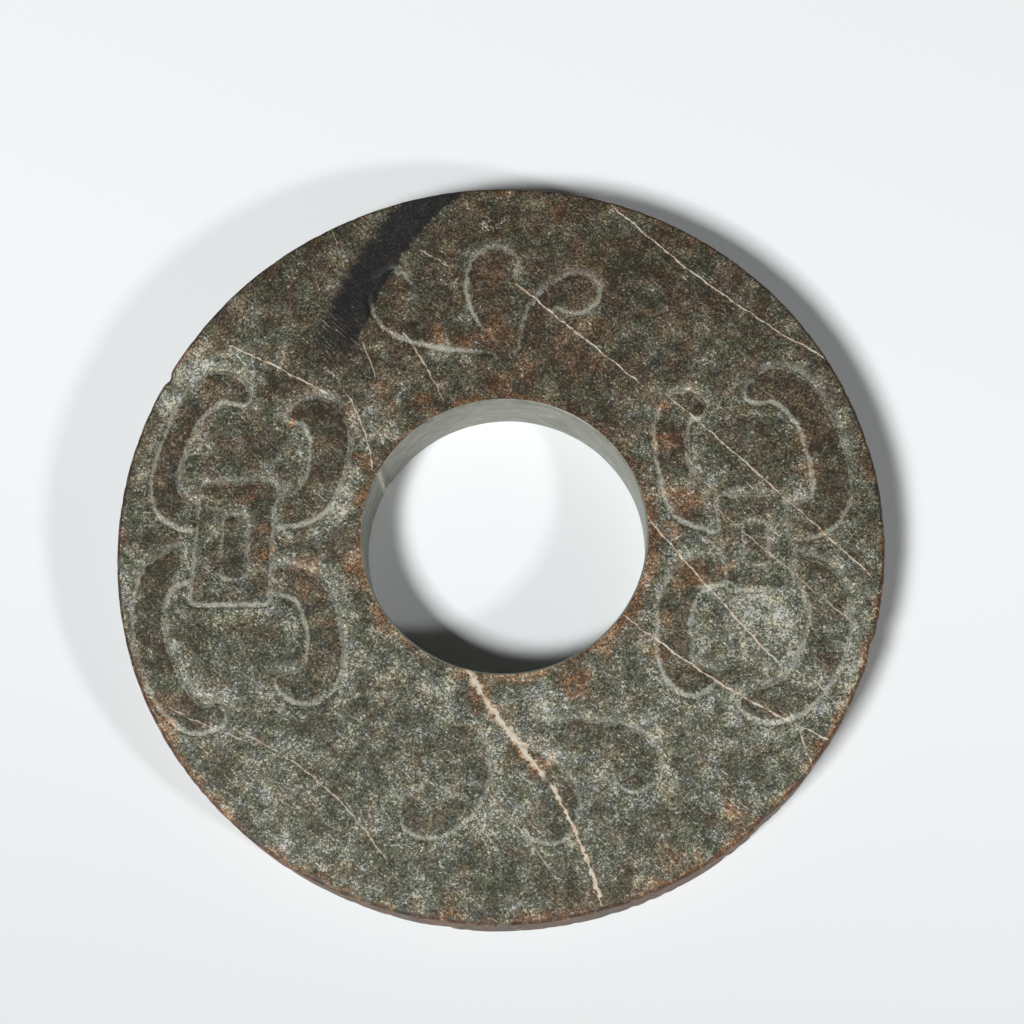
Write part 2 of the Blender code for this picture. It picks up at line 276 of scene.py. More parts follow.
def ease(value, start, finish):
    """0 before start, 1 after finish, and a soft step between."""
    share = np.clip((value - start) / (finish - start), 0.0, 1.0)
    return share * share * (3 - 2 * share)


def noise_at(x, y, size, layer):
    """A smooth noise between about -1 and 1. Each layer is a different one."""
    return noise.noise(Vector((x / size, y / size, layer)))


def nearest_on_curve(points, curve):
    """For each point, the number of the curve's nearest place and how far away it is, block by block."""
    nearest = np.empty(len(points), dtype=int)
    away = np.empty(len(points))
    for begin in range(0, len(points), BLOCK):
        some = points[begin:begin + BLOCK]
        squared = ((some[:, None, :] - curve[None, :, :]) ** 2).sum(axis=2)
        nearest[begin:begin + BLOCK] = squared.argmin(axis=1)
        away[begin:begin + BLOCK] = np.sqrt(squared.min(axis=1))
    return nearest, away


def nearest_on_line(line, points):
    """For each point: distance across the line (positive on the ground), and the depth there."""
    rows = line["rows"]
    nearest, away = nearest_on_curve(points, rows[:, :2])
    way = points - rows[nearest, :2]
    side = np.sum(way * rows[nearest, 2:4], axis=1)
    past = np.abs(way[:, 0] * rows[nearest, 3] - way[:, 1] * rows[nearest, 2])
    at_end = (not line["closed"]) & ((nearest == 0) | (nearest == len(rows) - 1))
    across = np.where(at_end, side, np.sign(side) * away)
    return across, rows[nearest, 4] * np.where(at_end, 1 - ease(past, 0.0, END_FADE), 1.0)


def read_carving(points):
    """Depth, and masks for the worn edges, the rubbed ground beside them and the raised forms."""
    result = {name: np.zeros(len(points)) for name in ("depth", *MASK_STEPS)}
    tremble = EDGE_RAGGED * np.array([noise_at(x, y, EDGE_RAGGED_SIZE, 0.0) for x, y in points])
    for line in lines:
        low = line["rows"][:, :2].min(axis=0) - REACH
        high = line["rows"][:, :2].max(axis=0) + REACH
        near = np.flatnonzero(((points > low) & (points < high)).all(axis=1))
        across, depth = nearest_on_line(line, points[near])
        width = np.maximum(line["width_per_depth"] * depth, WALL_END + 0.1)
        climb = np.clip((across - WALL_END) / (width - WALL_END), 0.0, 1.0)
        groove = depth * ease(across, WALL_START, WALL_END) * (1 - climb) ** SLOPE_SHAPE
        shoulder = SHOULDER_DROP * depth * np.exp(-(across / SHOULDER_WIDTH) ** 2) * (across < 0)
        strength = np.clip(depth / FULL_DEPTH, 0.0, 1.0)
        result["depth"][near] = np.maximum(result["depth"][near], groove + shoulder)
        ragged = across + tremble[near] + WORN_BACK * ease(len(line["rows"]) * LINE_STEP, *LONG_LINE)
        for name, (start, full, falling, gone) in MASK_STEPS.items():
            mask = np.sqrt(strength) * ease(ragged, start, full) * (1 - ease(ragged, falling, gone))
            result[name][near] = np.maximum(result[name][near], mask)
    in_top_curls = ease(points[:, 1], *TOP_CURLS)
    result["halo"] *= 1 - TOP_HALO_LOSS * in_top_curls
    result["edge"] *= 1 + TOP_EDGE_GAIN * in_top_curls
    return result


print("profile ready: wall", WALL_END - WALL_START, "mm wide")

# %% [markdown]
# ## Where the skin needs points
#
# A mesh that is fine everywhere would be too heavy, so points go where the shape bends. Rows of points
# follow every wall at chosen distances from it, two rings follow the rim and the bore, and an even lattice
# fills the rest. A candidate is kept only if no kept point is too near, and a Delaunay triangulation then
# joins them with well-shaped triangles.

# %% Set the spacing of the points
ROW_DISTANCES = (0.0, 0.45, -0.3, 0.2, 0.9, -0.8, 1.5, 2.2, 3.0)
ROW_STEP = 0.48
ROW_GAP = 0.24
ROW_SPARE = 0.5
ROW_MARGIN = 0.2
GAP_GROWTH = 0.1
LATTICE_STEP = 0.76
LATTICE_GAP = 0.5
LATTICE_MARGIN = 0.3
RIM_COLUMNS = 900
BORE_COLUMNS = 400
RIM_ROUNDING = 1.1
BORE_ROUNDING = 0.55
HASH_CELL = 0.8


class PointSieve:
    """Keeps points that are not too near to each other."""

    def __init__(self):
        self.cells = {}
        self.kept = []

    def keep(self, x, y):
        self.cells.setdefault((int(x // HASH_CELL), int(y // HASH_CELL)), []).append((x, y))
        self.kept.append((x, y))

    def offer(self, x, y, gap):
        column, row = int(x // HASH_CELL), int(y // HASH_CELL)
        for c in (column - 1, column, column + 1):
            for r in (row - 1, row, row + 1):
                for ox, oy in self.cells.get((c, r), ()):
                    if (ox - x) ** 2 + (oy - y) ** 2 < gap * gap:
                        return
        self.keep(x, y)


print("points on the rows stay at least", ROW_GAP, "mm apart")

# %% [markdown]
# ## The rim's outline
#
# A rim that was ground by hand is no true circle. We take a few slow waves off it, one notch and three nicks
# at known places, and crumbled spots that are deepest at the lower right. The bore was drilled, so its ring
# stays a circle.

# %% Grind the rim
RIM_SLACK = 0.17
RIM_WAVES = ((2, 0.07, 0.4), (5, 0.06, 2.1), (11, 0.04, 0.7))
RIM_NOTCHES = {
    "left notch": (153.3, 1.5, 0.9),
    "bottom nick": (262.0, 3.0, 0.3),
    "lower right nick": (312.0, 2.6, 0.45),
    "right nick": (342.0, 2.0, 0.35),
}
CRUST_SIZE = 2.3
CRUST_DEPTH = 0.55
CRUST_MIDDLE = -45.0
CRUST_SPREAD = 75.0


def turn_between(degrees, direction):
    """The turn from a direction to an angle, between -180 and 180 degrees."""
    return (degrees - direction + 180) % 360 - 180


def rim_inset(angle):
    """How far the hand-ground rim lies inside the true circle, in millimetres."""
    inset = RIM_SLACK - sum(height * math.sin(count * angle + shift) for count, height, shift in RIM_WAVES)
    for direction, width, depth in RIM_NOTCHES.values():
        gap = turn_between(math.degrees(angle), direction)
        inset += depth * math.exp(-(math.radians(gap) * RIM_RADIUS / width) ** 2)
    turned = turn_between(math.degrees(angle), CRUST_MIDDLE)
    crumbled = 0.3 + 0.7 * math.exp(-(turned / CRUST_SPREAD) ** 2)
    place = Vector((math.cos(angle), math.sin(angle), 0.0)) * (RIM_RADIUS / CRUST_SIZE)
    return inset + CRUST_DEPTH * crumbled * max(0.0, noise.noise(place))


def rim_point(angle, inset):
    radius = RIM_RADIUS - inset
    return radius * math.cos(angle), radius * math.sin(angle)


def bore_point(angle, outset):
    radius = BORE_RADIUS + outset
    return BORE_CENTRE[0] + radius * math.cos(angle), BORE_CENTRE[1] + radius * math.sin(angle)


print("the rim has", len(RIM_NOTCHES), "notches and nicks")

# %% Lay the rings, the rows and the lattice
rim_angles = np.arange(RIM_COLUMNS) * math.tau / RIM_COLUMNS
bore_angles = np.arange(BORE_COLUMNS) * math.tau / BORE_COLUMNS
rim_insets = np.array([rim_inset(angle) for angle in rim_angles])
ring_points = [rim_point(angle, inset + RIM_ROUNDING) for angle, inset in zip(rim_angles, rim_insets)]
ring_points += [bore_point(angle, BORE_ROUNDING) for angle in bore_angles]
sieve = PointSieve()
for x, y in ring_points:
    sieve.keep(x, y)


def on_face(x, y, margin):
    """True where a point lies on the face, clear of both rings."""
    if math.hypot(x - BORE_CENTRE[0], y - BORE_CENTRE[1]) < BORE_RADIUS + BORE_ROUNDING + margin:
        return False
    inset = rim_inset(math.atan2(y, x))
    return math.hypot(x, y) < RIM_RADIUS - inset - RIM_ROUNDING - margin


def lattice(step, row_height, margin):
    """The points of an even lattice that lie on the face, row by row."""
    for row in range(int(-RIM_RADIUS / row_height), int(RIM_RADIUS / row_height) + 1):
        for column in range(int(-RIM_RADIUS / step), int(RIM_RADIUS / step) + 1):
            x = (column + 0.5 * (row % 2)) * step
            y = row * row_height
            if on_face(x, y, margin):
                yield x, y


stride = round(ROW_STEP / LINE_STEP)
for distance in ROW_DISTANCES:
    for line in lines:
        for x, y, out_x, out_y, depth in line["rows"][::stride]:
            if distance > ROW_SPARE and distance > line["width_per_depth"] * depth + ROW_SPARE:
                continue
            px, py = x + out_x * distance, y + out_y * distance
            if on_face(px, py, ROW_MARGIN):
                sieve.offer(px, py, ROW_GAP + GAP_GROWTH * abs(distance))
row_count = len(sieve.kept)
for x, y in lattice(LATTICE_STEP, LATTICE_STEP * math.sqrt(3) / 2, LATTICE_MARGIN):
    sieve.offer(x, y, LATTICE_GAP)
face_points = np.array(sieve.kept)
print(row_count, "points on rings and rows,", len(face_points) - row_count, "in the lattice")

# %% [markdown]
# ## Wear and accidents
#
# Nothing on an old stone is flat. The polished face swells gently, small pits mark where soft grains fell
# out, and a few larger flaws are worth placing one by one. Everything only takes stone away, so the skin
# stays inside the blank.

# %% Pits and swells on the face
SWELL_DEPTH = 0.22
SWELL_SIZE = 26.0
RIPPLE_DEPTH = 0.05
RIPPLE_SIZE = 4.5
PIT_COUNT = 260
STAR_PIT = (-22.6, 60.0)
STAR_PIT_RADIUS = 1.5
STAR_PIT_DEPTH = 0.45

random = np.random.default_rng(11)
pits = np.column_stack([
    random.uniform(-RIM_RADIUS, RIM_RADIUS, PIT_COUNT),
    random.uniform(-RIM_RADIUS, RIM_RADIUS, PIT_COUNT),
    random.uniform(0.4, 1.1, PIT_COUNT),
    random.uniform(0.05, 0.22, PIT_COUNT),
])


def swell(points):
    """The slow rise and fall of the rubbed face, from 0 down to about SWELL_DEPTH + RIPPLE_DEPTH."""
    depth = np.empty(len(points))
    for index, (x, y) in enumerate(points):
        slow = noise_at(x, y, SWELL_SIZE, 3.0)
        quick = noise_at(x, y, RIPPLE_SIZE, 8.0)
        depth[index] = SWELL_DEPTH * (0.5 + 0.5 * slow) + RIPPLE_DEPTH * (0.5 + 0.5 * quick)
    return np.maximum(depth, 0.0)


def pit_depth(points):
    depth = np.zeros(len(points))
    for x, y, radius, deep in pits:
        away = np.hypot(points[:, 0] - x, points[:, 1] - y)
        depth = np.maximum(depth, deep * (1 - ease(away, 0.3 * radius, radius)))
    way = points - np.array(STAR_PIT)
    arms = 0.65 + 0.35 * np.cos(5 * np.arctan2(way[:, 1], way[:, 0]) + 0.8)
    away = np.hypot(way[:, 0], way[:, 1]) / (STAR_PIT_RADIUS * arms)
    return np.maximum(depth, STAR_PIT_DEPTH * (1 - ease(away, 0.3, 1.0)))


def face_height(points, carving):
    return TOP - swell(points) - np.maximum(carving["depth"], pit_depth(points))


carving = read_carving(face_points)
face_z = face_height(face_points, carving)
print(f"face between {face_z.min():.2f} and {face_z.max():.2f}, deepest carving {carving['depth'].max():.2f}")

# %% [markdown]
# ## Join the face
#
# `delaunay_2d_cdt` joins points in the plane and respects edges that it must keep. We give it the rim's and
# the bore's rings as such edges, and drop the triangles that close the bore: they are the only ones whose
# three corners all lie on the bore's ring.

# %% Triangulate the face
def ring_edges(first, count):
    return [(first + index, first + (index + 1) % count) for index in range(count)]


def triangles_between(points, rim_count, bore_count):
    """Triangles over a ring whose first points are the rim's ring and then the bore's."""
    edges = ring_edges(0, rim_count) + ring_edges(rim_count, bore_count)
    flat = [Vector((x, y)) for x, y in points]
    made, _, faces, origins, _, _ = delaunay_2d_cdt(flat, edges, [], 1, 0.00001)
    number = [origin[0] for origin in origins]
    assert len(made) == len(points)
    on_bore = range(rim_count, rim_count + bore_count)
    triangles = [tuple(number[v] for v in face) for face in faces]
    return [t for t in triangles if not all(v in on_bore for v in t)]


face_triangles = triangles_between(face_points, RIM_COLUMNS, BORE_COLUMNS)
print(len(face_triangles), "triangles on the carved face")

# %% [markdown]
# ## The rim, the bore wall and the back
#
# The edge of the disc is a profile carried round the ring: a rounded corner, a side ground by hand, and a
# rounded corner below. The rounding is uneven, because edges wear where they are handled. The bore's wall
# was drilled and polished, so it is truer and its edges are crisper. The back is plain.

# %% Profiles round the rim and the bore
CORNER_STEPS = 5
SIDE_STEPS = 7
BACK_STEP = 2.6
BACK_MARGIN = 1.2
BACK_HOLLOW = 0.12
BACK_HOLLOW_SIZE = 18.0
RIM_ROUGHNESS = (5.0, 0.16)
BORE_ROUGHNESS = (12.0, 0.12)
BORE_CHIP_ANGLE = 150.0
BORE_CHIP_WIDTH = 1.7
BORE_CHIP_DEPTH = 0.55


def corner_profile(rounding):
    """Rows of inset and drop down a rounded corner, without the first, which is the face's own edge."""
    turns = np.linspace(0.0, math.pi / 2, CORNER_STEPS + 1)[1:]
    return [(rounding * (1 - math.sin(turn)), rounding * (1 - math.cos(turn))) for turn in turns]


def side_profile(rounding, edge_top):
    """Rows of inset and height from just below the face's edge to just above the back's edge."""
    rows = [(inset, edge_top - drop) for inset, drop in corner_profile(rounding)]
    rows += [(0.0, height) for height in np.linspace(edge_top - rounding, rounding, SIDE_STEPS + 1)[1:-1]]
    rows += [(inset, drop) for inset, drop in reversed(corner_profile(rounding))]
    return rows


def side_roughness(angle, height, radius, size, depth):
    """How deep the side is worn in at an angle and a height."""
    place = Vector((radius * math.cos(angle) / size, radius * math.sin(angle) / size, height / size))
    return depth * (0.5 + 0.5 * noise.noise(place))


def bore_chip(angle, height):
    """How deep the chip in the bore's wall is at an angle and a height."""
    aside = turn_between(math.degrees(angle), BORE_CHIP_ANGLE)
    edge = BORE_CHIP_WIDTH * (0.8 + 0.5 * noise.noise(Vector((height / 3.0, 4.0, 0.0))))
    return BORE_CHIP_DEPTH * float(1 - ease(abs(math.radians(aside)) * BORE_RADIUS, 0.3 * edge, edge))


vertices = [(x, y, z) for (x, y), z in zip(face_points, face_z)]


def add_side(first, angles, rounding, place, roughness):
    """Add a side's rows of vertices below the face's ring that starts at a vertex. Returns all rings."""
    rings = [list(range(first, first + len(angles)))]
    profiles = [side_profile(rounding, vertices[first + index][2]) for index in range(len(angles))]
    for level in range(len(profiles[0])):
        ring = []
        for index, angle in enumerate(angles):
            inset, height = profiles[index][level]
            x, y = place(index, angle, inset + roughness(angle, height))
            ring.append(len(vertices))
            vertices.append((x, y, height))
        rings.append(ring)
    return rings


rim_rings = add_side(
    0, rim_angles, RIM_ROUNDING,
    lambda index, angle, inset: rim_point(angle, inset + rim_insets[index]),
    lambda angle, height: side_roughness(angle, height, RIM_RADIUS, *RIM_ROUGHNESS),
)
bore_rings = add_side(
    RIM_COLUMNS, bore_angles, BORE_ROUNDING,
    lambda index, angle, inset: bore_point(angle, inset),
    lambda angle, height: (
        side_roughness(angle, height, BORE_RADIUS, *BORE_ROUGHNESS) + bore_chip(angle, height)
    ),
)

back_points = np.array(ring_points + list(lattice(BACK_STEP, BACK_STEP, BACK_MARGIN)))
back_triangles = triangles_between(back_points, RIM_COLUMNS, BORE_COLUMNS)
first_back = len(vertices)
for x, y in back_points:
    rise = BACK_HOLLOW * max(0.0, noise_at(x, y, BACK_HOLLOW_SIZE, 20.0))
    edge_room = min(RIM_RADIUS - math.hypot(x, y), math.hypot(x, y) - BORE_RADIUS)
    vertices.append((x, y, rise * float(ease(edge_room, 2.0, 8.0))))
print(len(back_triangles), "triangles on the back")

# %% [markdown]
# ## A seam of black stone
#
# A dark seam crosses the stone from the rim to the left of the bore. Its middle is a curve through a few
# points. Each vertex learns how far it lies to the seam's right and how far along it is, and the shader
# turns those two numbers into a ragged black band. Distances vary smoothly, so a coarse mesh carries them
# well, which it could not do for the band's sharp edge itself.

# %% Measure places along the seam
BAND_MIDDLE = [(-8.0, 106.0), (-18.5, 98.5), (-24.6, 91.5), (-29.6, 84.5), (-33.6, 78.0), (-37.2, 71.5),
               (-39.8, 65.0), (-42.2, 58.5), (-45.6, 52.0), (-50.5, 45.0)]
BAND_STEP = 0.25
BAND_SMOOTHING = 4.0


def band_place(points):
    """For each point, the distance to the right of the band's middle and the way along it."""
    middle = np.array(BAND_MIDDLE)
    travelled = travelled_along(middle)
    samples = np.arange(0.0, travelled[-1], BAND_STEP)
    curve = np.column_stack([np.interp(samples, travelled, middle[:, axis]) for axis in (0, 1)])
    curve = bell_smoothed(curve, BAND_SMOOTHING / BAND_STEP, False)
    ahead = headings(curve)
    nearest, away = nearest_on_curve(points, curve)
    way = points - curve[nearest]
    side = way[:, 0] * ahead[nearest, 1] - way[:, 1] * ahead[nearest, 0]
    return np.sign(side) * away, samples[nearest]


print(f"the seam is {travelled_along(np.array(BAND_MIDDLE))[-1]:.0f} long")

# %% [markdown]
# ## Stained, rubbed and dark places
#
# Rust settled where soil and hands met the stone: round the bore, along the carving's edges and on the lower
# rim. Elsewhere the ground is rubbed pale, the stone itself is darker, or a chip shows bright crystal. All of
# these have soft edges, so vertices half a millimetre apart can hold them. Each row is a blot: its middle's x
# and y, its radius and its strength. The rust round the bore and the rim is a blot bent into a ring, with a
# direction and a spread in degrees, a reach and a strength. Two plain noises push the points about, so that
# the outlines come out ragged. `noise_vector` would do both at once, but it gives other numbers in each run.

# %% List the blots
STAINS = {
    "left carving": [
        (-50.0, -7.0, 5.5, 0.6), (-54.0, 33.6, 2.0, 1.0), (-66.0, 11.5, 6.0, 0.55),
        (-60.4, 3.0, 2.2, 0.9), (-60.6, -3.5, 2.0, 0.8), (-67.2, 4.2, 1.8, 0.8),
        (-50.5, -14.0, 5.0, 0.55), (-44.5, -24.0, 4.0, 0.5), (-77.0, 41.0, 4.5, 0.4),
        (-80.0, 30.0, 3.5, 0.35), (-84.0, -45.0, 6.0, 0.45),
    ],
    "right carving": [
        (48.0, 9.0, 5.0, 0.75), (44.0, 25.0, 4.8, 0.8), (45.0, 1.0, 4.0, 0.6), (49.0, -12.0, 5.0, 0.8),
        (43.5, 35.0, 3.4, 0.8), (44.0, 25.0, 3.2, 0.9), (48.0, 9.5, 4.5, 0.75), (78.0, 25.0, 4.5, 0.5),
        (81.0, 17.0, 3.5, 0.4), (50.0, -9.0, 4.5, 0.6), (43.0, -22.0, 4.0, 0.55),
        (59.0, -9.5, 3.4, 0.6),
    ],
    "top of the disc": [
        (-1.0, 56.5, 6.5, 0.75), (8.0, 46.0, 6.0, 0.6), (22.0, 49.0, 6.0, 0.5), (16.0, 92.0, 5.0, 0.5),
        (-17.0, 56.0, 3.0, 0.8), (-8.5, 54.6, 3.0, 0.8), (-2.0, 74.0, 4.0, 0.5), (0.0, 60.0, 3.0, 0.5),
        (17.0, 54.0, 5.0, 0.55), (27.0, 58.0, 5.0, 0.45), (23.0, 77.0, 6.0, 0.5),
    ],
    "round the bore": [
        (-36.0, 21.0, 4.0, 0.8), (19.0, -39.5, 6.0, 0.75), (-4.5, -42.0, 5.0, 0.9),
        (-32.0, 39.5, 5.0, 0.6), (-37.5, -8.0, 5.5, 0.9), (40.0, -31.0, 4.0, 0.6),
        (0.0, 43.0, 5.0, 0.8), (-21.0, 37.5, 4.0, 0.8), (-39.0, 33.0, 4.0, 0.6),
    ],
    "foot of the disc": [
        (10.5, -60.0, 4.0, 0.8), (43.0, -84.0, 5.0, 0.45), (57.5, -74.0, 4.0, 0.9),
        (-12.0, -97.0, 6.0, 0.4), (22.0, -95.0, 6.0, 0.4),
    ],
}
BORE_RUST = {
    "left": (188.0, 50.0, 4.4, 0.85),
    "upper left": (140.0, 26.0, 2.8, 0.6),
    "top": (100.0, 30.0, 3.2, 0.9),
    "upper right": (50.0, 32.0, 3.6, 0.75),
    "right": (355.0, 26.0, 4.6, 0.85),
    "lower right": (318.0, 22.0, 4.2, 0.9),
    "bottom": (275.0, 30.0, 2.6, 0.8),
}
RIM_RUST = {
    "right": (350.0, 26.0, 2.2, 0.7),
    "lower right": (312.0, 26.0, 3.4, 1.0),
    "bottom": (268.0, 30.0, 2.4, 0.8),
    "lower left": (222.0, 28.0, 3.2, 0.8),
    "left": (170.0, 30.0, 1.6, 0.5),
    "top": (80.0, 40.0, 1.2, 0.5),
}
RUBBED = {
    "left carving": [
        (-74.5, 0.0, 4.5, 0.8), (-74.0, 40.0, 9.0, 0.8), (-81.0, 48.0, 9.0, 1.6),
        (-70.0, 49.0, 8.0, 1.3), (-87.0, 37.0, 7.0, 1.2), (-77.0, 39.0, 6.0, 1.4),
        (-59.0, 53.0, 7.0, 1.0), (-68.0, 39.0, 6.0, 0.6),
    ],
    "right carving": [
        (66.0, -24.0, 14.0, 1.1), (45.0, 10.0, 8.0, 0.4), (61.0, -8.0, 8.0, 0.7), (69.0, 1.0, 8.0, 0.6),
        (90.0, -29.0, 9.0, 0.35), (47.0, 14.0, 6.0, 1.0), (44.0, -43.0, 8.0, 0.5),
        (44.0, -2.0, 6.0, 0.6), (47.0, 33.0, 6.0, 0.5), (44.0, 22.0, 4.0, 0.8), (47.0, 35.0, 6.0, 1.0),
        (64.0, 24.0, 7.0, 0.6), (84.0, -15.0, 6.0, 0.6), (78.0, -36.0, 7.0, 1.2),
        (86.0, -24.0, 6.0, 1.2), (53.0, -15.0, 5.0, 0.9),
    ],
    "top of the disc": [
        (-15.0, 53.0, 6.0, 1.6), (-7.0, 51.5, 6.0, 0.9), (33.0, 90.0, 7.0, 0.6),
        (-68.0, 61.0, 8.0, 0.8), (8.0, 94.0, 6.0, 0.6), (-18.0, 92.0, 5.0, 0.8),
    ],
    "round the bore": [
        (-34.0, 32.0, 8.0, 0.8), (-43.0, 12.0, 7.0, 1.1), (-31.0, 30.0, 8.0, 1.3),
    ],
    "foot of the disc": [
        (-15.0, -44.0, 9.0, 0.7), (12.0, -46.0, 10.0, 0.5), (-49.0, -80.0, 9.0, 0.5),
        (-24.0, -58.0, 6.0, 0.6),
    ],
}
DARK_PATCHES = {
    "left carving": [
        (-56.0, -35.0, 6.0, 0.8), (-88.0, -4.0, 9.0, 1.5), (-78.0, -27.0, 8.0, 1.3),
        (-64.0, -22.0, 7.0, 0.8), (-66.0, 14.3, 3.5, 1.0), (-62.5, 7.0, 4.0, 1.2),
        (-48.0, -49.0, 10.0, 0.9), (-67.0, -47.0, 6.0, 0.6), (-67.6, 0.0, 3.0, 1.0),
    ],
    "right carving": [
        (59.0, -37.0, 8.0, 0.9), (65.5, 0.5, 3.0, 1.0),
    ],
    "top of the disc": [
        (*STAR_PIT, 2.6, 2.2), (32.0, 75.0, 8.0, 1.2), (43.0, 76.0, 8.0, 1.2),
    ],
    "round the bore": [
        (-36.0, -21.0, 6.0, 0.8),
    ],
    "foot of the disc": [
        (14.0, -88.0, 9.0, 1.5), (29.0, -90.0, 8.0, 1.2), (4.0, -59.0, 6.0, 0.8),
        (45.0, -76.0, 9.0, 0.7), (1.0, -89.0, 6.0, 0.7), (69.0, -63.0, 7.0, 0.8),
        (-6.0, -83.0, 6.0, 0.8), (-18.0, -83.0, 7.0, 0.6),
    ],
}
CRYSTALS = {
    "chip in the bore": [(-30.5, 18.6, 2.2, 0.9)],
    "speck near the top": [(-1.5, 90.0, 3.2, 1.0)],
    "chips at the rim": [(-43.0, -86.0, 2.2, 0.8), (-94.0, 14.0, 2.0, 0.7)],
}
for title, table in (("stains", STAINS), ("rubbed places", RUBBED), ("dark places", DARK_PATCHES)):
    print(sum(len(rows) for rows in table.values()), title)

# %% Turn the blots into masks
BLOT_CORE = 0.3
BLOT_WANDER = 3.2
BLOT_WANDER_SIZE = 4.0


def wandered(points):
    """The points, each moved a little by a smooth noise, so that a round blot comes out ragged."""
    moved = np.empty((len(points), 2))
    for index, (x, y) in enumerate(points):
        push_x = noise_at(x, y, BLOT_WANDER_SIZE, 5.5)
        push_y = noise_at(x, y, BLOT_WANDER_SIZE, 15.5)
        moved[index] = x + push_x * BLOT_WANDER, y + push_y * BLOT_WANDER
    return moved


def ring_rust(points, centre, radius, table, outward):
    """Rust along a ring's edge: each row has a direction, a spread in degrees, a reach and a strength."""
    way = points - centre
    angle = np.degrees(np.arctan2(way[:, 1], way[:, 0]))
    beyond = (np.hypot(way[:, 0], way[:, 1]) - radius) * outward
    mask = np.zeros(len(points))
    for direction, spread, reach, strength in table.values():
        aside = np.abs(turn_between(angle, direction))
        along = 1 - ease(aside, 0.5 * spread, 1.2 * spread)
        mask = np.maximum(mask, strength * along * (1 - ease(beyond, 0.25 * reach, reach)))
    return mask


def blots(points, table):
    """The strongest of a table's soft round blots at each point."""
    mask = np.zeros(len(points))
    for rows in table.values():
        for x, y, radius, strength in rows:
            away = np.hypot(points[:, 0] - x, points[:, 1] - y)
            mask = np.maximum(mask, strength * (1 - ease(away, BLOT_CORE * radius, radius)))
    return mask


def rust_at(points):
    mask = ring_rust(points, BORE_CENTRE, BORE_RADIUS, BORE_RUST, 1.0)
    mask = np.maximum(mask, ring_rust(points, np.zeros(2), RIM_RADIUS, RIM_RUST, -1.0))
    return np.maximum(mask, blots(points, STAINS))


print("a blot's outline wanders by up to", BLOT_WANDER, "mm")

# %% [markdown]
# ## Pale veins
#
# Veins are cracks that healed with pale crystal. Here most run from the upper left to the lower right, as
# cracks from one squeeze do, and the broad one below the bore is the stone's most striking mark. Each is a
# sheet that cuts the whole stone, so its end shows in the bore too. A row gives its two ends on the face, how
# far it bows to its left, half its width and its strength. A thin line is finer than the mesh, so a vertex
# carries its signed distance to the nearest sheet, which changes evenly from vertex to vertex, and the shader
# draws the line where that distance passes zero. Halfway between two veins the sign may jump, so the strength
# drops to nothing there.

# %% Measure places beside the veins
VEINS = {
    "broad lower vein": ((-8.5, -35.0), (12.9, -64.8), -0.7, 0.84, 1.0),
    "broad lower vein's tail": ((12.2, -63.4), (25.6, -96.0), 1.3, 0.42, 1.0),
    "upper right rim vein": ((30.0, 95.0), (90.0, 46.0), -2.7, 0.15, 0.85),
    "vein over the top curls": ((4.0, 71.5), (37.5, 41.5), 0.0, 0.16, 0.9),
    "long right vein": ((42.5, 40.0), (97.0, -13.5), 0.5, 0.14, 0.85),
    "vein right of the bore": ((38.5, 4.5), (72.0, -36.0), -0.4, 0.17, 0.85),
    "vein under the right motif": ((31.0, -21.0), (88.0, -57.0), -2.4, 0.17, 0.95),
    "lower right branch": ((73.0, -47.0), (78.5, -62.0), 0.4, 0.15, 0.7),
    "vein through the right buckle": ((56.0, 7.0), (92.0, -26.0), 0.0, 0.11, 0.55),
    "upper left vein": ((-74.0, 54.5), (-45.0, 39.0), 0.6, 0.20, 0.9),
    "scratch by the band": ((-46.0, 88.0), (-42.0, 76.0), 0.0, 0.10, 0.5),
    "vein below the left curl": ((-26.0, 57.5), (-14.5, 37.0), 0.5, 0.14, 0.75),
    "short vein by the band": ((-37.0, 55.0), (-33.0, 44.0), 0.3, 0.11, 0.6),
    "long lower left vein": ((-68.0, -50.5), (-27.0, -85.0), 4.4, 0.14, 0.6),
    "thin vein left of the broad one": ((-3.5, -65.5), (15.0, -89.0), 0.3, 0.10, 0.5),
    "short lower vein": ((-7.0, -71.0), (-1.0, -80.0), 0.0, 0.10, 0.5),
    "short vein between the top curls": ((-22.0, 81.5), (-13.0, 76.0), 0.0, 0.11, 0.6),
    "vein left of the bore": ((-41.0, 40.0), (-33.0, 18.0), 1.2, 0.19, 0.7),
    "lower right rim vein": ((78.0, -38.0), (90.0, -52.0), 0.6, 0.12, 0.7),
    "lower left rim vein": ((-84.0, -45.0), (-60.0, -55.0), -0.6, 0.12, 0.6),
}
VEIN_LEAN = 0.2
VEIN_REACH = 3.2
VEIN_FADE = 1.8
HALFWAY_GAP = 0.9
FAR = 99.0


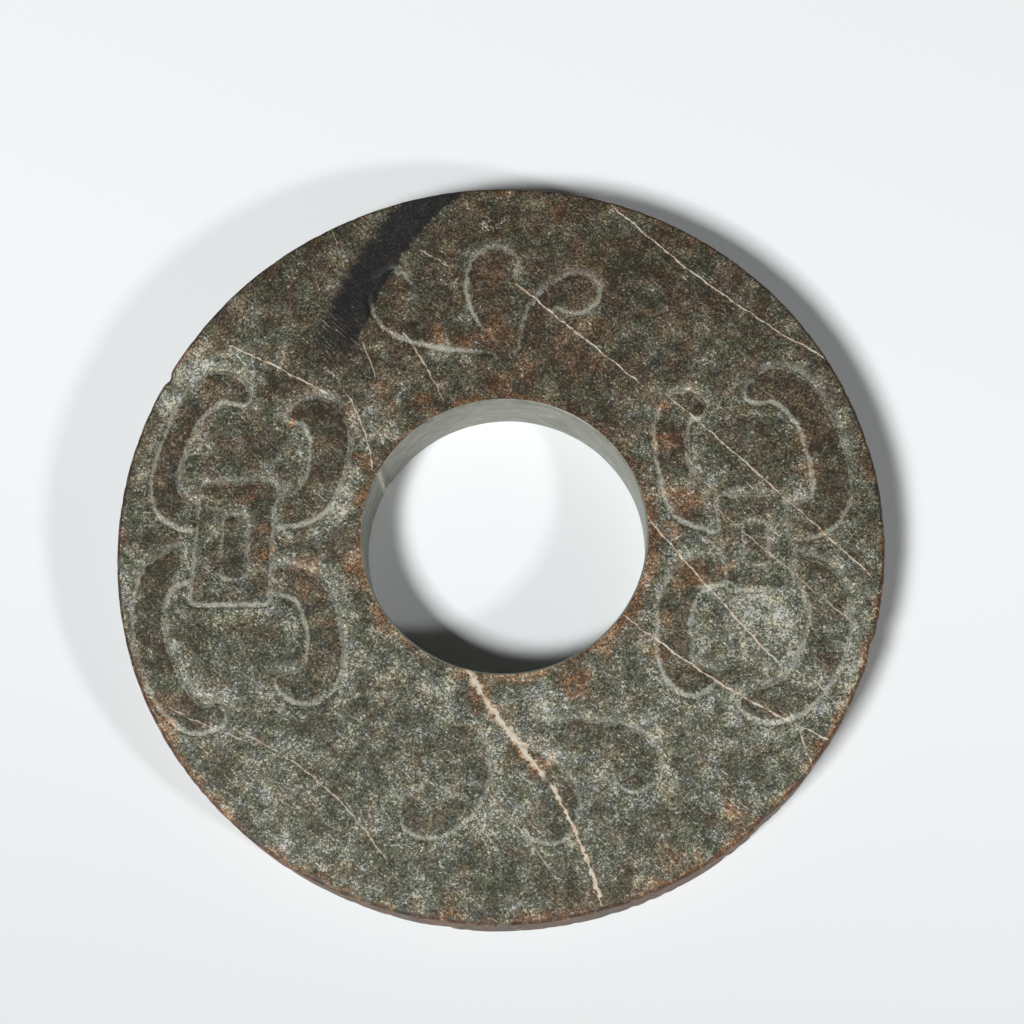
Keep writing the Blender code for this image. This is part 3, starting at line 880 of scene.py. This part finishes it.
def vein_place(points):
    """For each point: the signed distance to the nearest vein, and that vein's half width and strength."""
    across, width, strength = np.zeros((3, len(points)))
    nearest, second = np.full((2, len(points)), FAR)
    for start, finish, bow, half_width, power in VEINS.values():
        begin, end = np.array(start), np.array(finish)
        half_length = np.linalg.norm(end - begin) / 2
        ahead = (end - begin) / half_length / 2
        way = points[:, :2] - (begin + end) / 2
        share = np.abs(way @ ahead) / half_length
        side = ahead[0] * way[:, 1] - ahead[1] * way[:, 0] + VEIN_LEAN * (points[:, 2] - TOP)
        side -= bow * (1 - share * share)
        away = np.hypot(side, np.maximum(share - 1, 0) * half_length)
        closer = away < nearest
        second = np.where(closer, nearest, np.minimum(second, away))
        nearest = np.where(closer, away, nearest)
        across = np.where(closer, side, across)
        width = np.where(closer, half_width, width)
        strength = np.where(closer, power * (1 - ease(share, 0.9, 1.0)), strength)
    strength *= (1 - ease(nearest, VEIN_FADE, VEIN_REACH)) * ease(second - nearest, 0.0, HALFWAY_GAP)
    return across.clip(-VEIN_REACH, VEIN_REACH), width, strength


print(len(VEINS), "veins")

# %% [markdown]
# ## Close the skin
#
# Neighbouring rings are bridged with quads and the parts are written as one mesh. Letting `bmesh` work out
# the normals at the end is easier than keeping every face the right way round by hand. The masks go on the
# vertices as named attributes, which any shader can read.

# %% Write the mesh
def bridged(rings):
    quads = []
    for upper, lower in zip(rings, rings[1:]):
        for index in range(len(upper)):
            onward = (index + 1) % len(upper)
            quads.append((upper[index], upper[onward], lower[onward], lower[index]))
    return quads


back_rim = list(range(first_back, first_back + RIM_COLUMNS))
back_bore = list(range(first_back + RIM_COLUMNS, first_back + RIM_COLUMNS + BORE_COLUMNS))
rim_faces = bridged(rim_rings[:-1] + [back_rim])
bore_faces = bridged(bore_rings[:-1] + [back_bore])
back_faces = [tuple(first_back + v for v in triangle) for triangle in back_triangles]
all_faces = face_triangles + rim_faces + back_faces + bore_faces

mesh = bpy.data.meshes.new("carved_disc")
mesh.from_pydata([Vector(v) * MM for v in vertices], [], all_faces)
wall_first = len(all_faces) - len(bore_faces)
finish_numbers = np.zeros(len(all_faces), dtype=np.int32)
finish_numbers[wall_first:] = 1
mesh.polygons.foreach_set("material_index", finish_numbers)
masks = {name: np.zeros(len(vertices)) for name in MASK_STEPS}
for name in masks:
    masks[name][:len(face_points)] = carving[name]
flat_places = np.array(vertices)[:, :2]
masks["band_across"], masks["band_along"] = band_place(flat_places)
masks["vein_across"], masks["vein_width"], masks["vein_strength"] = vein_place(np.array(vertices))
moved_places = wandered(flat_places)
masks["rust"] = rust_at(moved_places)
masks["rubbed"] = blots(moved_places, RUBBED)
masks["crystal"] = blots(moved_places, CRYSTALS)
masks["dark"] = blots(moved_places, DARK_PATCHES)
masks["side"] = np.zeros(len(vertices))
masks["side"][rim_rings[1][0]:rim_rings[-2][-1] + 1] = 1.0
for name, values in masks.items():
    layer = mesh.attributes.new(name, "FLOAT", "POINT")
    layer.data.foreach_set("value", values.astype(np.float32))

skin = bmesh.new()
skin.from_mesh(mesh)
loose = [vertex for vertex in skin.verts if not vertex.link_faces]
bmesh.ops.delete(skin, geom=loose, context="VERTS")
bmesh.ops.recalc_face_normals(skin, faces=skin.faces)
open_edges = sum(1 for edge in skin.edges if len(edge.link_faces) != 2)
skin.to_mesh(mesh)
skin.free()
mesh.shade_smooth()
carved_disc = bpy.data.objects.new("carved_disc", mesh)
bpy.context.scene.collection.objects.link(carved_disc)
triangle_count = sum(len(face.vertices) - 2 for face in mesh.polygons)
print("carved_disc:", triangle_count, "triangles,", open_edges, "open edges")
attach(carved_disc, "root")
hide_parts("bi_disc")

# %% [markdown]
# ## Small helpers for shader nodes
#
# A shader is a graph, and building one by hand in Python takes many lines. A few helpers keep it readable:
# they put a node in a tree and fill its inputs with values or links, do sums, make a soft step, mix two
# colours, read a colour from a ramp, and make a group with named sockets. A group holds only colours, masks
# and heights. The Principled shader stays in the material, where its plain values can be seen.

# %% Node helpers
def put(tree, kind, inputs, **settings):
    """Add a node, set its options, and give each input a value or a link. Returns its outputs."""
    made = tree.nodes.new("ShaderNode" + kind)
    for name, value in settings.items():
        setattr(made, name, value)
    for socket, value in inputs.items():
        if isinstance(value, bpy.types.NodeSocket):
            tree.links.new(value, made.inputs[socket])
        else:
            made.inputs[socket].default_value = value
    return made.outputs


def maths(tree, operation, *values):
    return put(tree, "Math", dict(enumerate(values)), operation=operation)[0]


def added(tree, value, share, base):
    """A share of the value on top of a base."""
    return maths(tree, "MULTIPLY_ADD", value, share, base)


def swung(tree, value, share, base):
    """A share of the value's swing about one half on top of a base."""
    return added(tree, maths(tree, "SUBTRACT", value, 0.5), share, base)


def times(tree, first, second):
    return maths(tree, "MULTIPLY", first, second)


def stepped(tree, value, start, finish, low=0.0, high=1.0):
    """A soft step from low to high as the value goes from start to finish."""
    inputs = {"Value": value, "From Min": start, "From Max": finish, "To Min": low, "To Max": high}
    return put(tree, "MapRange", inputs, interpolation_type="SMOOTHSTEP")["Result"]


def blended(tree, factor, first, second, how="MIX"):
    inputs = {0: factor, 6: first, 7: second}
    return put(tree, "Mix", inputs, data_type="RGBA", blend_type=how, clamp_factor=True)[2]


def ramp(tree, value, stops):
    """A colour for each value, through stops of position and colour."""
    made = tree.nodes.new("ShaderNodeValToRGB")
    elements = made.color_ramp.elements
    for index, (position, colour) in enumerate(stops):
        element = elements[index] if index < 2 else elements.new(position)
        element.position = position
        element.color = (*colour, 1.0)
    tree.links.new(value, made.inputs["Fac"])
    return made.outputs["Color"]


def new_group(name, inputs, outputs):
    """An empty node group with named sockets. Returns the tree, its inputs and its outputs."""
    tree = bpy.data.node_groups.new(name, "ShaderNodeTree")
    for label, kind, value in inputs:
        socket = tree.interface.new_socket(label, in_out="INPUT", socket_type="NodeSocket" + kind)
        if value is not None:
            socket.default_value = value
    for label, kind in outputs:
        tree.interface.new_socket(label, in_out="OUTPUT", socket_type="NodeSocket" + kind)
    given = tree.nodes.new("NodeGroupInput").outputs
    wanted = tree.nodes.new("NodeGroupOutput").inputs
    return tree, given, wanted


print("node helpers ready")

# %% [markdown]
# ## Groups shared by both finishes
#
# The weathered face and the polished bore are the same stone, so they share their effects. `stone_grain`
# makes the felted flecks of the stone and their height. `broken_line` draws a vein from the distance to its
# sheet: one noise bends the line, and another swells it in places and starves it in others. It puts out the
# whole line, its clean core and the stained fringe beside it.

# %% Build the grain
FELT_CONTRAST = 2.8
SPARK_FINENESS = 1.6
SPARK_SHARE = 0.38
PATCH_FINENESS = 0.16
PATCH_SHARE = 1.25
SPARK_HEIGHT = 0.35

stone_grain, given, wanted = new_group(
    "stone_grain",
    [("Position", "Vector", None), ("Grain Size", "Float", 0.8), ("Paleness", "Float", 0.0)],
    [("Fleck", "Float"), ("Height", "Float")],
)
finer = maths(stone_grain, "DIVIDE", 1.0, given["Grain Size"])
felt = put(stone_grain, "TexNoise", {
    "Vector": given["Position"], "Scale": finer, "Detail": 4.0, "Roughness": 0.7, "Distortion": 0.9,
})["Fac"]
cells = put(stone_grain, "TexVoronoi", {
    "Vector": given["Position"], "Scale": times(stone_grain, finer, SPARK_FINENESS),
}, feature="F1")
spark = put(stone_grain, "SeparateColor", {"Color": cells["Color"]})["Red"]
patches = put(stone_grain, "TexNoise", {
    "Vector": given["Position"], "Scale": times(stone_grain, finer, PATCH_FINENESS), "Detail": 4.0,
    "Roughness": 0.6,
})["Fac"]
fleck = swung(stone_grain, felt, FELT_CONTRAST, 0.5)
fleck = swung(stone_grain, spark, SPARK_SHARE, fleck)
fleck = swung(stone_grain, patches, PATCH_SHARE, fleck)
fleck = maths(stone_grain, "ADD", fleck, given["Paleness"])
fleck = maths(stone_grain, "MINIMUM", maths(stone_grain, "MAXIMUM", fleck, 0.0), 1.0)
stone_grain.links.new(fleck, wanted["Fleck"])
stone_grain.links.new(added(stone_grain, spark, SPARK_HEIGHT, felt), wanted["Height"])
print(stone_grain.name, "has", len(stone_grain.nodes), "nodes")

# %% Build the broken line
BEND_SCALE = 0.28
BREAK_SCALE = 0.75
THINNEST = 0.25
THICKEST = 1.75

broken_line, given, wanted = new_group(
    "broken_line",
    [
        ("Position", "Vector", None), ("Across", "Float", 1.0), ("Half Width", "Float", 0.2),
        ("Strength", "Float", 1.0), ("Wobble", "Float", 1.0),
    ],
    [("Line", "Float"), ("Core", "Float"), ("Fringe", "Float")],
)

bends, breaks = (
    put(broken_line, "TexNoise", {"Vector": given["Position"], "Scale": scale, "Detail": 3.0})["Fac"]
    for scale in (BEND_SCALE, BREAK_SCALE)
)
away = maths(broken_line, "ABSOLUTE", swung(broken_line, bends, given["Wobble"], given["Across"]))
uneven = stepped(broken_line, breaks, 0.34, 0.66, THINNEST, THICKEST)
swollen = times(broken_line, given["Half Width"], uneven)


def within(outer, spare, inner):
    """1 up to the inner share of the half width, and 0 beyond the outer share and a spare distance."""
    limit = added(broken_line, swollen, outer, spare)
    return stepped(broken_line, away, limit, times(broken_line, swollen, inner))


line_mask = within(1.25, 0.0, 0.75)
fringe_mask = within(2.2, 0.25, 1.0)
broken_line.links.new(times(broken_line, line_mask, given["Strength"]), wanted["Line"])
broken_line.links.new(within(0.7, 0.0, 0.2), wanted["Core"])
broken_line.links.new(times(broken_line, fringe_mask, given["Strength"]), wanted["Fringe"])
print(broken_line.name, "has", len(broken_line.nodes), "nodes")

# %% [markdown]
# ## Helpers for the materials
#
# Both materials read the object's own coordinates in millimetres, the masks on the vertices and the same
# veins. Soft patches come from one kind of noise, and a table keeps their sizes together: how large the
# patches are in millimetres, where the noise starts to count and where it counts in full, and its detail.

# %% Material helpers
SOFT_PATCHES = {
    "clouds": (16.0, 0.32, 0.68, 2.0),
    "brown drift": (5.0, 0.34, 0.66, 4.0),
    "olive drift": (4.0, 0.34, 0.66, 4.0),
    "worn edges": (3.0, 0.30, 0.55, 2.0),
    "rust": (1.5, 0.26, 0.56, 2.0),
    "vein fringe": (3.5, 0.38, 0.60, 2.0),
    "vein stain": (1.6, 0.50, 0.72, 4.0),
    "vein rind": (0.9, 0.34, 0.56, 2.0),
    "side crust": (2.2, 0.30, 0.65, 4.0),
    "seam's edge": (2.0, 0.10, 0.90, 4.0),
}
VEIN_WOBBLE = 1.5


def millimetres(tree):
    """The object's own coordinates, in millimetres."""
    place = put(tree, "TexCoord", {})["Object"]
    return put(tree, "VectorMath", {0: place, "Scale": 1 / MM}, operation="SCALE")["Vector"]


def mask_from(tree, name):
    return put(tree, "Attribute", {}, attribute_name=name, attribute_type="GEOMETRY")["Fac"]


def new_material(name):
    material = bpy.data.materials.new(name)
    material.use_nodes = True
    tree = material.node_tree
    return material, tree, tree.nodes["Principled BSDF"].inputs


def patchy(tree, position, name):
    size, start, full, detail = SOFT_PATCHES[name]
    cloud = put(tree, "TexNoise", {"Vector": position, "Scale": 1 / size, "Detail": detail})["Fac"]
    return stepped(tree, cloud, start, full)


def add_grain(tree, position, size, paleness):
    inputs = {"Position": position, "Grain Size": size, "Paleness": paleness}
    return put(tree, "Group", inputs, node_tree=stone_grain)


def add_veins(tree, position):
    """The veins' lines, cores and fringes, from the distances that the vertices carry."""
    inputs = {"Position": position, "Wobble": VEIN_WOBBLE}
    for socket in ("Across", "Half Width", "Strength"):
        inputs[socket] = mask_from(tree, "vein_" + socket.lower().split()[-1])
    return put(tree, "Group", inputs, node_tree=broken_line)


print(len(SOFT_PATCHES), "kinds of soft patches")

# %% [markdown]
# ## Weathered stone: the flecks
#
# The outside has been buried, handled and rubbed. Its flecks run from near black through olive to a chalky
# grey-green. One number, the paleness, says how many of them are chalky: it rises where the ground is rubbed
# and along the carving's edges, and falls on the raised forms, in dark places and towards the top. Fine
# slanting hairs are scratches that show as pale flecks in rows.

# %% How pale the flecks are
PALE_SHARES = {"halo": 0.19, "edge": 0.14, "rubbed": 0.24, "dark": -0.20, "form": -0.10}
TOP_PALENESS = -0.20
CLOUD_SHARE = 0.16
HAIR_SHARE = 0.30
HAIR_SLANT = -43.0
HAIR_SIZE = (4.6, 0.40, 1.0)
FACE_GRAIN_SIZE = 0.6

weathered, tree, shader = new_material("weathered_jade")
position = millimetres(tree)
up_the_face = put(tree, "SeparateXYZ", {"Vector": position})["Y"]
pale = stepped(tree, up_the_face, 62.0, -60.0, TOP_PALENESS, 0.0)
for name, share in PALE_SHARES.items():
    pale = added(tree, mask_from(tree, name), share, pale)
pale = swung(tree, patchy(tree, position, "clouds"), CLOUD_SHARE, pale)
turned = put(tree, "Mapping", {
    "Vector": position, "Rotation": (0.0, 0.0, math.radians(HAIR_SLANT)), "Scale": HAIR_SIZE,
}, vector_type="TEXTURE")["Vector"]
hairs = put(tree, "TexNoise", {"Vector": turned, "Scale": 1.0, "Detail": 2.0})["Fac"]
pale = added(tree, stepped(tree, hairs, 0.60, 0.72), HAIR_SHARE, pale)
grain = add_grain(tree, position, FACE_GRAIN_SIZE, pale)
print("the paleness has", len(PALE_SHARES) + 3, "shares")

# %% [markdown]
# ## Weathered stone: green, brown and rust
#
# Three ramps read the same flecks in a green, a brown and a rusty range, so a stain never hides the grain.
# The brown drifts in patches and grows towards the top and on the raised forms. A slight tint turns patches
# olive or grey, the carving's worn edges take a chalky colour, and the rust mask brings in the rusty range.

# %% Colour the flecks
GREEN_RANGE = [
    (0.06, (0.018, 0.018, 0.010)), (0.25, (0.038, 0.040, 0.022)), (0.50, (0.090, 0.095, 0.062)),
    (0.70, (0.144, 0.155, 0.117)), (0.88, (0.284, 0.296, 0.246)), (1.0, (0.545, 0.550, 0.490)),
]
BROWN_RANGE = [
    (0.06, (0.025, 0.017, 0.009)), (0.25, (0.050, 0.035, 0.020)), (0.50, (0.112, 0.085, 0.053)),
    (0.70, (0.172, 0.140, 0.095)), (0.88, (0.305, 0.268, 0.202)), (1.0, (0.540, 0.505, 0.420)),
]
RUST_RANGE = [
    (0.06, (0.040, 0.018, 0.009)), (0.25, (0.092, 0.040, 0.017)), (0.50, (0.195, 0.090, 0.037)),
    (0.70, (0.320, 0.168, 0.073)), (0.88, (0.460, 0.295, 0.165)), (1.0, (0.610, 0.490, 0.360)),
]
OLIVE_TINT = (1.05, 1.00, 0.86, 1.0)
GREY_TINT = (1.00, 1.00, 1.08, 1.0)
WORN_COLOUR = (0.270, 0.270, 0.222, 1.0)
BROWN_AT_FOOT = 0.08
BROWN_AT_TOP = 0.62
BROWN_SHARES = {"form": 0.30, "rubbed": -0.25, "halo": -0.25}

brownness = stepped(tree, up_the_face, -50.0, 60.0, BROWN_AT_FOOT, BROWN_AT_TOP)
for name, share in BROWN_SHARES.items():
    brownness = added(tree, mask_from(tree, name), share, brownness)
brownness = swung(tree, patchy(tree, position, "brown drift"), 1.0, brownness)
green = ramp(tree, grain["Fleck"], GREEN_RANGE)
colour = blended(tree, brownness, green, ramp(tree, grain["Fleck"], BROWN_RANGE))
tint = blended(tree, patchy(tree, position, "olive drift"), GREY_TINT, OLIVE_TINT)
colour = blended(tree, 1.0, colour, tint, "MULTIPLY")
worn = times(tree, mask_from(tree, "edge"), stepped(tree, grain["Fleck"], 0.15, 0.65, 0.10, 0.75))
worn = times(tree, worn, patchy(tree, position, "worn edges"))
colour = blended(tree, worn, colour, WORN_COLOUR)
rust = times(tree, mask_from(tree, "rust"), patchy(tree, position, "rust"))
colour = blended(tree, rust, colour, ramp(tree, grain["Fleck"], RUST_RANGE))
print("three colour ranges laid over each other")

# %% [markdown]
# ## Weathered stone: veins, crust and the black seam
#
# A vein is pale crystal with a warm rind where it is broad, and rust has crept into the stone beside it. The
# side of the disc has a brown crust. The black seam comes last, over everything: each vertex knows how far
# it lies across and along the seam, and noise makes the two edges and the frayed lower end.

# %% Add the veins, the crust and the seam
VEIN_COLOUR = (0.640, 0.600, 0.500, 1.0)
VEIN_WARMTH = (0.470, 0.300, 0.170, 1.0)
VEIN_COVER = 0.92
STAIN_COVER = 0.7
FRINGE_TINT = (0.270, 0.135, 0.055, 1.0)
FRINGE_COVER = 0.55
SIDE_TINT = (0.40, 0.28, 0.20, 1.0)
BAND_COLOUR = (0.013, 0.013, 0.014, 1.0)
BAND_COVER = 0.93
BAND_RAGGED = 2.0
BAND_FRAY = 46.0
BAND_GLOSS = -0.12

veins = add_veins(tree, position)
fringe = times(tree, veins["Fringe"], patchy(tree, position, "vein fringe"))
colour = blended(tree, times(tree, fringe, FRINGE_COVER), colour, FRINGE_TINT)
crystal = times(tree, mask_from(tree, "crystal"), stepped(tree, grain["Fleck"], 0.25, 0.6))
crystal = maths(tree, "MAXIMUM", crystal, veins["Line"])
stained = times(tree, patchy(tree, position, "vein stain"), STAIN_COVER)
rind = maths(tree, "SUBTRACT", stepped(tree, mask_from(tree, "vein_width"), 0.22, 0.5), veins["Core"])
rind = times(tree, rind, patchy(tree, position, "vein rind"))
vein_colour = blended(tree, maths(tree, "MAXIMUM", stained, rind), VEIN_COLOUR, VEIN_WARMTH)
colour = blended(tree, times(tree, crystal, VEIN_COVER), colour, vein_colour)
crust = stepped(tree, patchy(tree, position, "side crust"), 0.0, 1.0, 0.45, 1.0)
side = times(tree, mask_from(tree, "side"), crust)
colour = blended(tree, side, colour, SIDE_TINT, "MULTIPLY")

band_along = mask_from(tree, "band_along")
ragged = added(tree, patchy(tree, position, "seam's edge"), BAND_RAGGED, mask_from(tree, "band_across"))
left_side = stepped(tree, ragged, -4.9, -3.9)
right_side = stepped(tree, ragged, added(tree, band_along, 0.035, 6.4), 4.6)
frayed = swung(tree, hairs, BAND_FRAY, band_along)
band = times(tree, times(tree, right_side, left_side), stepped(tree, frayed, 75.0, 57.0))
colour = blended(tree, times(tree, band, BAND_COVER), colour, BAND_COLOUR)
tree.links.new(colour, shader["Base Color"])
roughness = stepped(tree, grain["Fleck"], 0.2, 0.9, 0.52, 0.78)
tree.links.new(added(tree, band, BAND_GLOSS, roughness), shader["Roughness"])
bump = put(tree, "Bump", {"Strength": 0.7, "Distance": 0.12 * MM, "Height": grain["Height"]})["Normal"]
tree.links.new(bump, shader["Normal"])
print(weathered.name, "has", len(tree.nodes), "nodes")

# %% [markdown]
# ## The polished bore
#
# The drill and the polishing stick left the bore smoother and greyer than the face: no flecks stand out,
# only long soft streaks and the ends of the veins. The same groups give it the same stone at a low contrast.

# %% Make the polished stone
BORE_RANGE = [
    (0.0, (0.118, 0.123, 0.095)), (0.45, (0.178, 0.184, 0.146)), (0.75, (0.226, 0.230, 0.189)),
    (1.0, (0.300, 0.302, 0.255)),
]

STREAK_STRETCH = (0.35, 0.35, 1.1)
STREAK_CONTRAST = 2.0
BORE_GRAIN_SIZE = 0.7
BORE_GRAIN_SHARE = 0.18
BORE_FRINGE_COVER = 0.10
BORE_VEIN_COVER = 0.8
POLISH_ROUGHNESS = 0.42

polished, tree, shader = new_material("polished_jade")
position = millimetres(tree)
stretched = put(tree, "VectorMath", {0: position, 1: STREAK_STRETCH}, operation="MULTIPLY")["Vector"]
streaks = put(tree, "TexNoise", {"Vector": stretched, "Scale": 0.45, "Detail": 5.0, "Distortion": 1.2})["Fac"]
grain = add_grain(tree, position, BORE_GRAIN_SIZE, 0.0)
tone = swung(tree, streaks, STREAK_CONTRAST, 0.5)
tone = swung(tree, grain["Fleck"], BORE_GRAIN_SHARE, tone)
colour = ramp(tree, tone, BORE_RANGE)
veins = add_veins(tree, position)
colour = blended(tree, times(tree, veins["Fringe"], BORE_FRINGE_COVER), colour, FRINGE_TINT)
crystal = maths(tree, "MAXIMUM", mask_from(tree, "crystal"), veins["Line"])
colour = blended(tree, times(tree, crystal, BORE_VEIN_COVER), colour, VEIN_COLOUR)
tree.links.new(colour, shader["Base Color"])
shader["Roughness"].default_value = POLISH_ROUGHNESS
bump = put(tree, "Bump", {"Strength": 0.25, "Distance": 0.05 * MM, "Height": grain["Height"]})["Normal"]
tree.links.new(bump, shader["Normal"])
print(polished.name, "has", len(tree.nodes), "nodes")

mesh.materials.append(weathered)
mesh.materials.append(polished)

# %% [markdown]
# ## The studio
#
# The photo was taken from above. Its shadows show one strong light, halfway up on the near left, which throws
# the wide soft shadow at the far right. A weak low one at the near right throws the hard edge inside the
# bore. Each is an area light whose size sets how soft its shadow's edge is. The floor is a plain pale sheet,
# larger than any view needs, and painted shade in its colour darkens it a little towards the front, as the
# photo's does.

# %% Floor, lights and camera
FLOOR_SIZE = 6.0
# The floor's two colours are painted shade: the front colour is the darker, shaded end of the sheet.
FLOOR_FRONT_PAINTED_SHADE = (0.660, 0.690, 0.700, 1.0)
FLOOR_BACK = (0.860, 0.886, 0.894, 1.0)
LIGHT_DISTANCE = 4.0
LIGHTS = {
    "main light": (228.2, 50.2, 0.96, 180.0),
    "low light": (-34.7, 29.5, 0.36, 56.0),
}
SKY_STRENGTH = 0.030

bpy.ops.mesh.primitive_plane_add(size=FLOOR_SIZE)
floor = bpy.context.object
floor.name = "pale_floor"
paper, tree, shader = new_material("pale_paper")
axes = put(tree, "SeparateXYZ", {"Vector": millimetres(tree)})
# Painted shade: the floor's colour runs from the darker front to the lighter back.
onward = maths(tree, "MULTIPLY_ADD", axes["X"], 0.2, axes["Y"])
tone = stepped(tree, onward, -240.0, 70.0)
tree.links.new(blended(tree, tone, FLOOR_FRONT_PAINTED_SHADE, FLOOR_BACK), shader["Base Color"])
shader["Roughness"].default_value = 0.9
shader["Specular IOR Level"].default_value = 0.1
floor.data.materials.append(paper)


def add_light(name, azimuth, elevation, size, power):
    """A square light that looks at the disc from a compass angle and a height above the floor."""
    lamp = bpy.data.lights.new(name, "AREA")
    lamp.shape = "SQUARE"
    lamp.size = size
    lamp.energy = power
    holder = bpy.data.objects.new(name, lamp)
    flat = math.cos(math.radians(elevation))
    way = Vector((
        flat * math.cos(math.radians(azimuth)), flat * math.sin(math.radians(azimuth)),
        math.sin(math.radians(elevation)),
    ))
    holder.location = way * LIGHT_DISTANCE
    holder.rotation_euler = way.to_track_quat("Z", "Y").to_euler()
    bpy.context.scene.collection.objects.link(holder)


for name, values in LIGHTS.items():
    add_light(name.replace(" ", "_"), *values)

world = bpy.data.worlds.new("studio_air")
world.use_nodes = True
world.node_tree.nodes["Background"].inputs["Color"].default_value = (1.0, 1.0, 1.0, 1.0)
world.node_tree.nodes["Background"].inputs["Strength"].default_value = SKY_STRENGTH
bpy.context.scene.world = world

CAMERA_TARGET = Vector((2.99, 11.34, 0.0)) * MM
CAMERA_DISTANCE = 523.7 * MM
CAMERA_TILT = math.radians(17.65)
CAMERA_AZIMUTH = math.radians(6.07)
SENSOR_WIDTH = 36.0
FOCAL_LENGTH = 68.3

camera = bpy.data.objects.new("camera", bpy.data.cameras.new("camera"))
camera.data.sensor_width = SENSOR_WIDTH
camera.data.lens = FOCAL_LENGTH
camera.data.clip_start = 0.01
camera.data.clip_end = 20.0
backward = Vector((
    math.sin(CAMERA_AZIMUTH) * math.sin(CAMERA_TILT), -math.cos(CAMERA_AZIMUTH) * math.sin(CAMERA_TILT),
    math.cos(CAMERA_TILT),
))
sideways = Vector((0, 1, 0)).cross(backward).normalized()
upward = backward.cross(sideways)
turned = Matrix((sideways, upward, backward)).transposed().to_4x4()
camera.matrix_world = Matrix.Translation(CAMERA_TARGET + backward * CAMERA_DISTANCE) @ turned
bpy.context.scene.collection.objects.link(camera)
bpy.context.scene.camera = camera
bpy.context.scene.view_settings.view_transform = "Standard"
print("camera at", camera.matrix_world.translation)
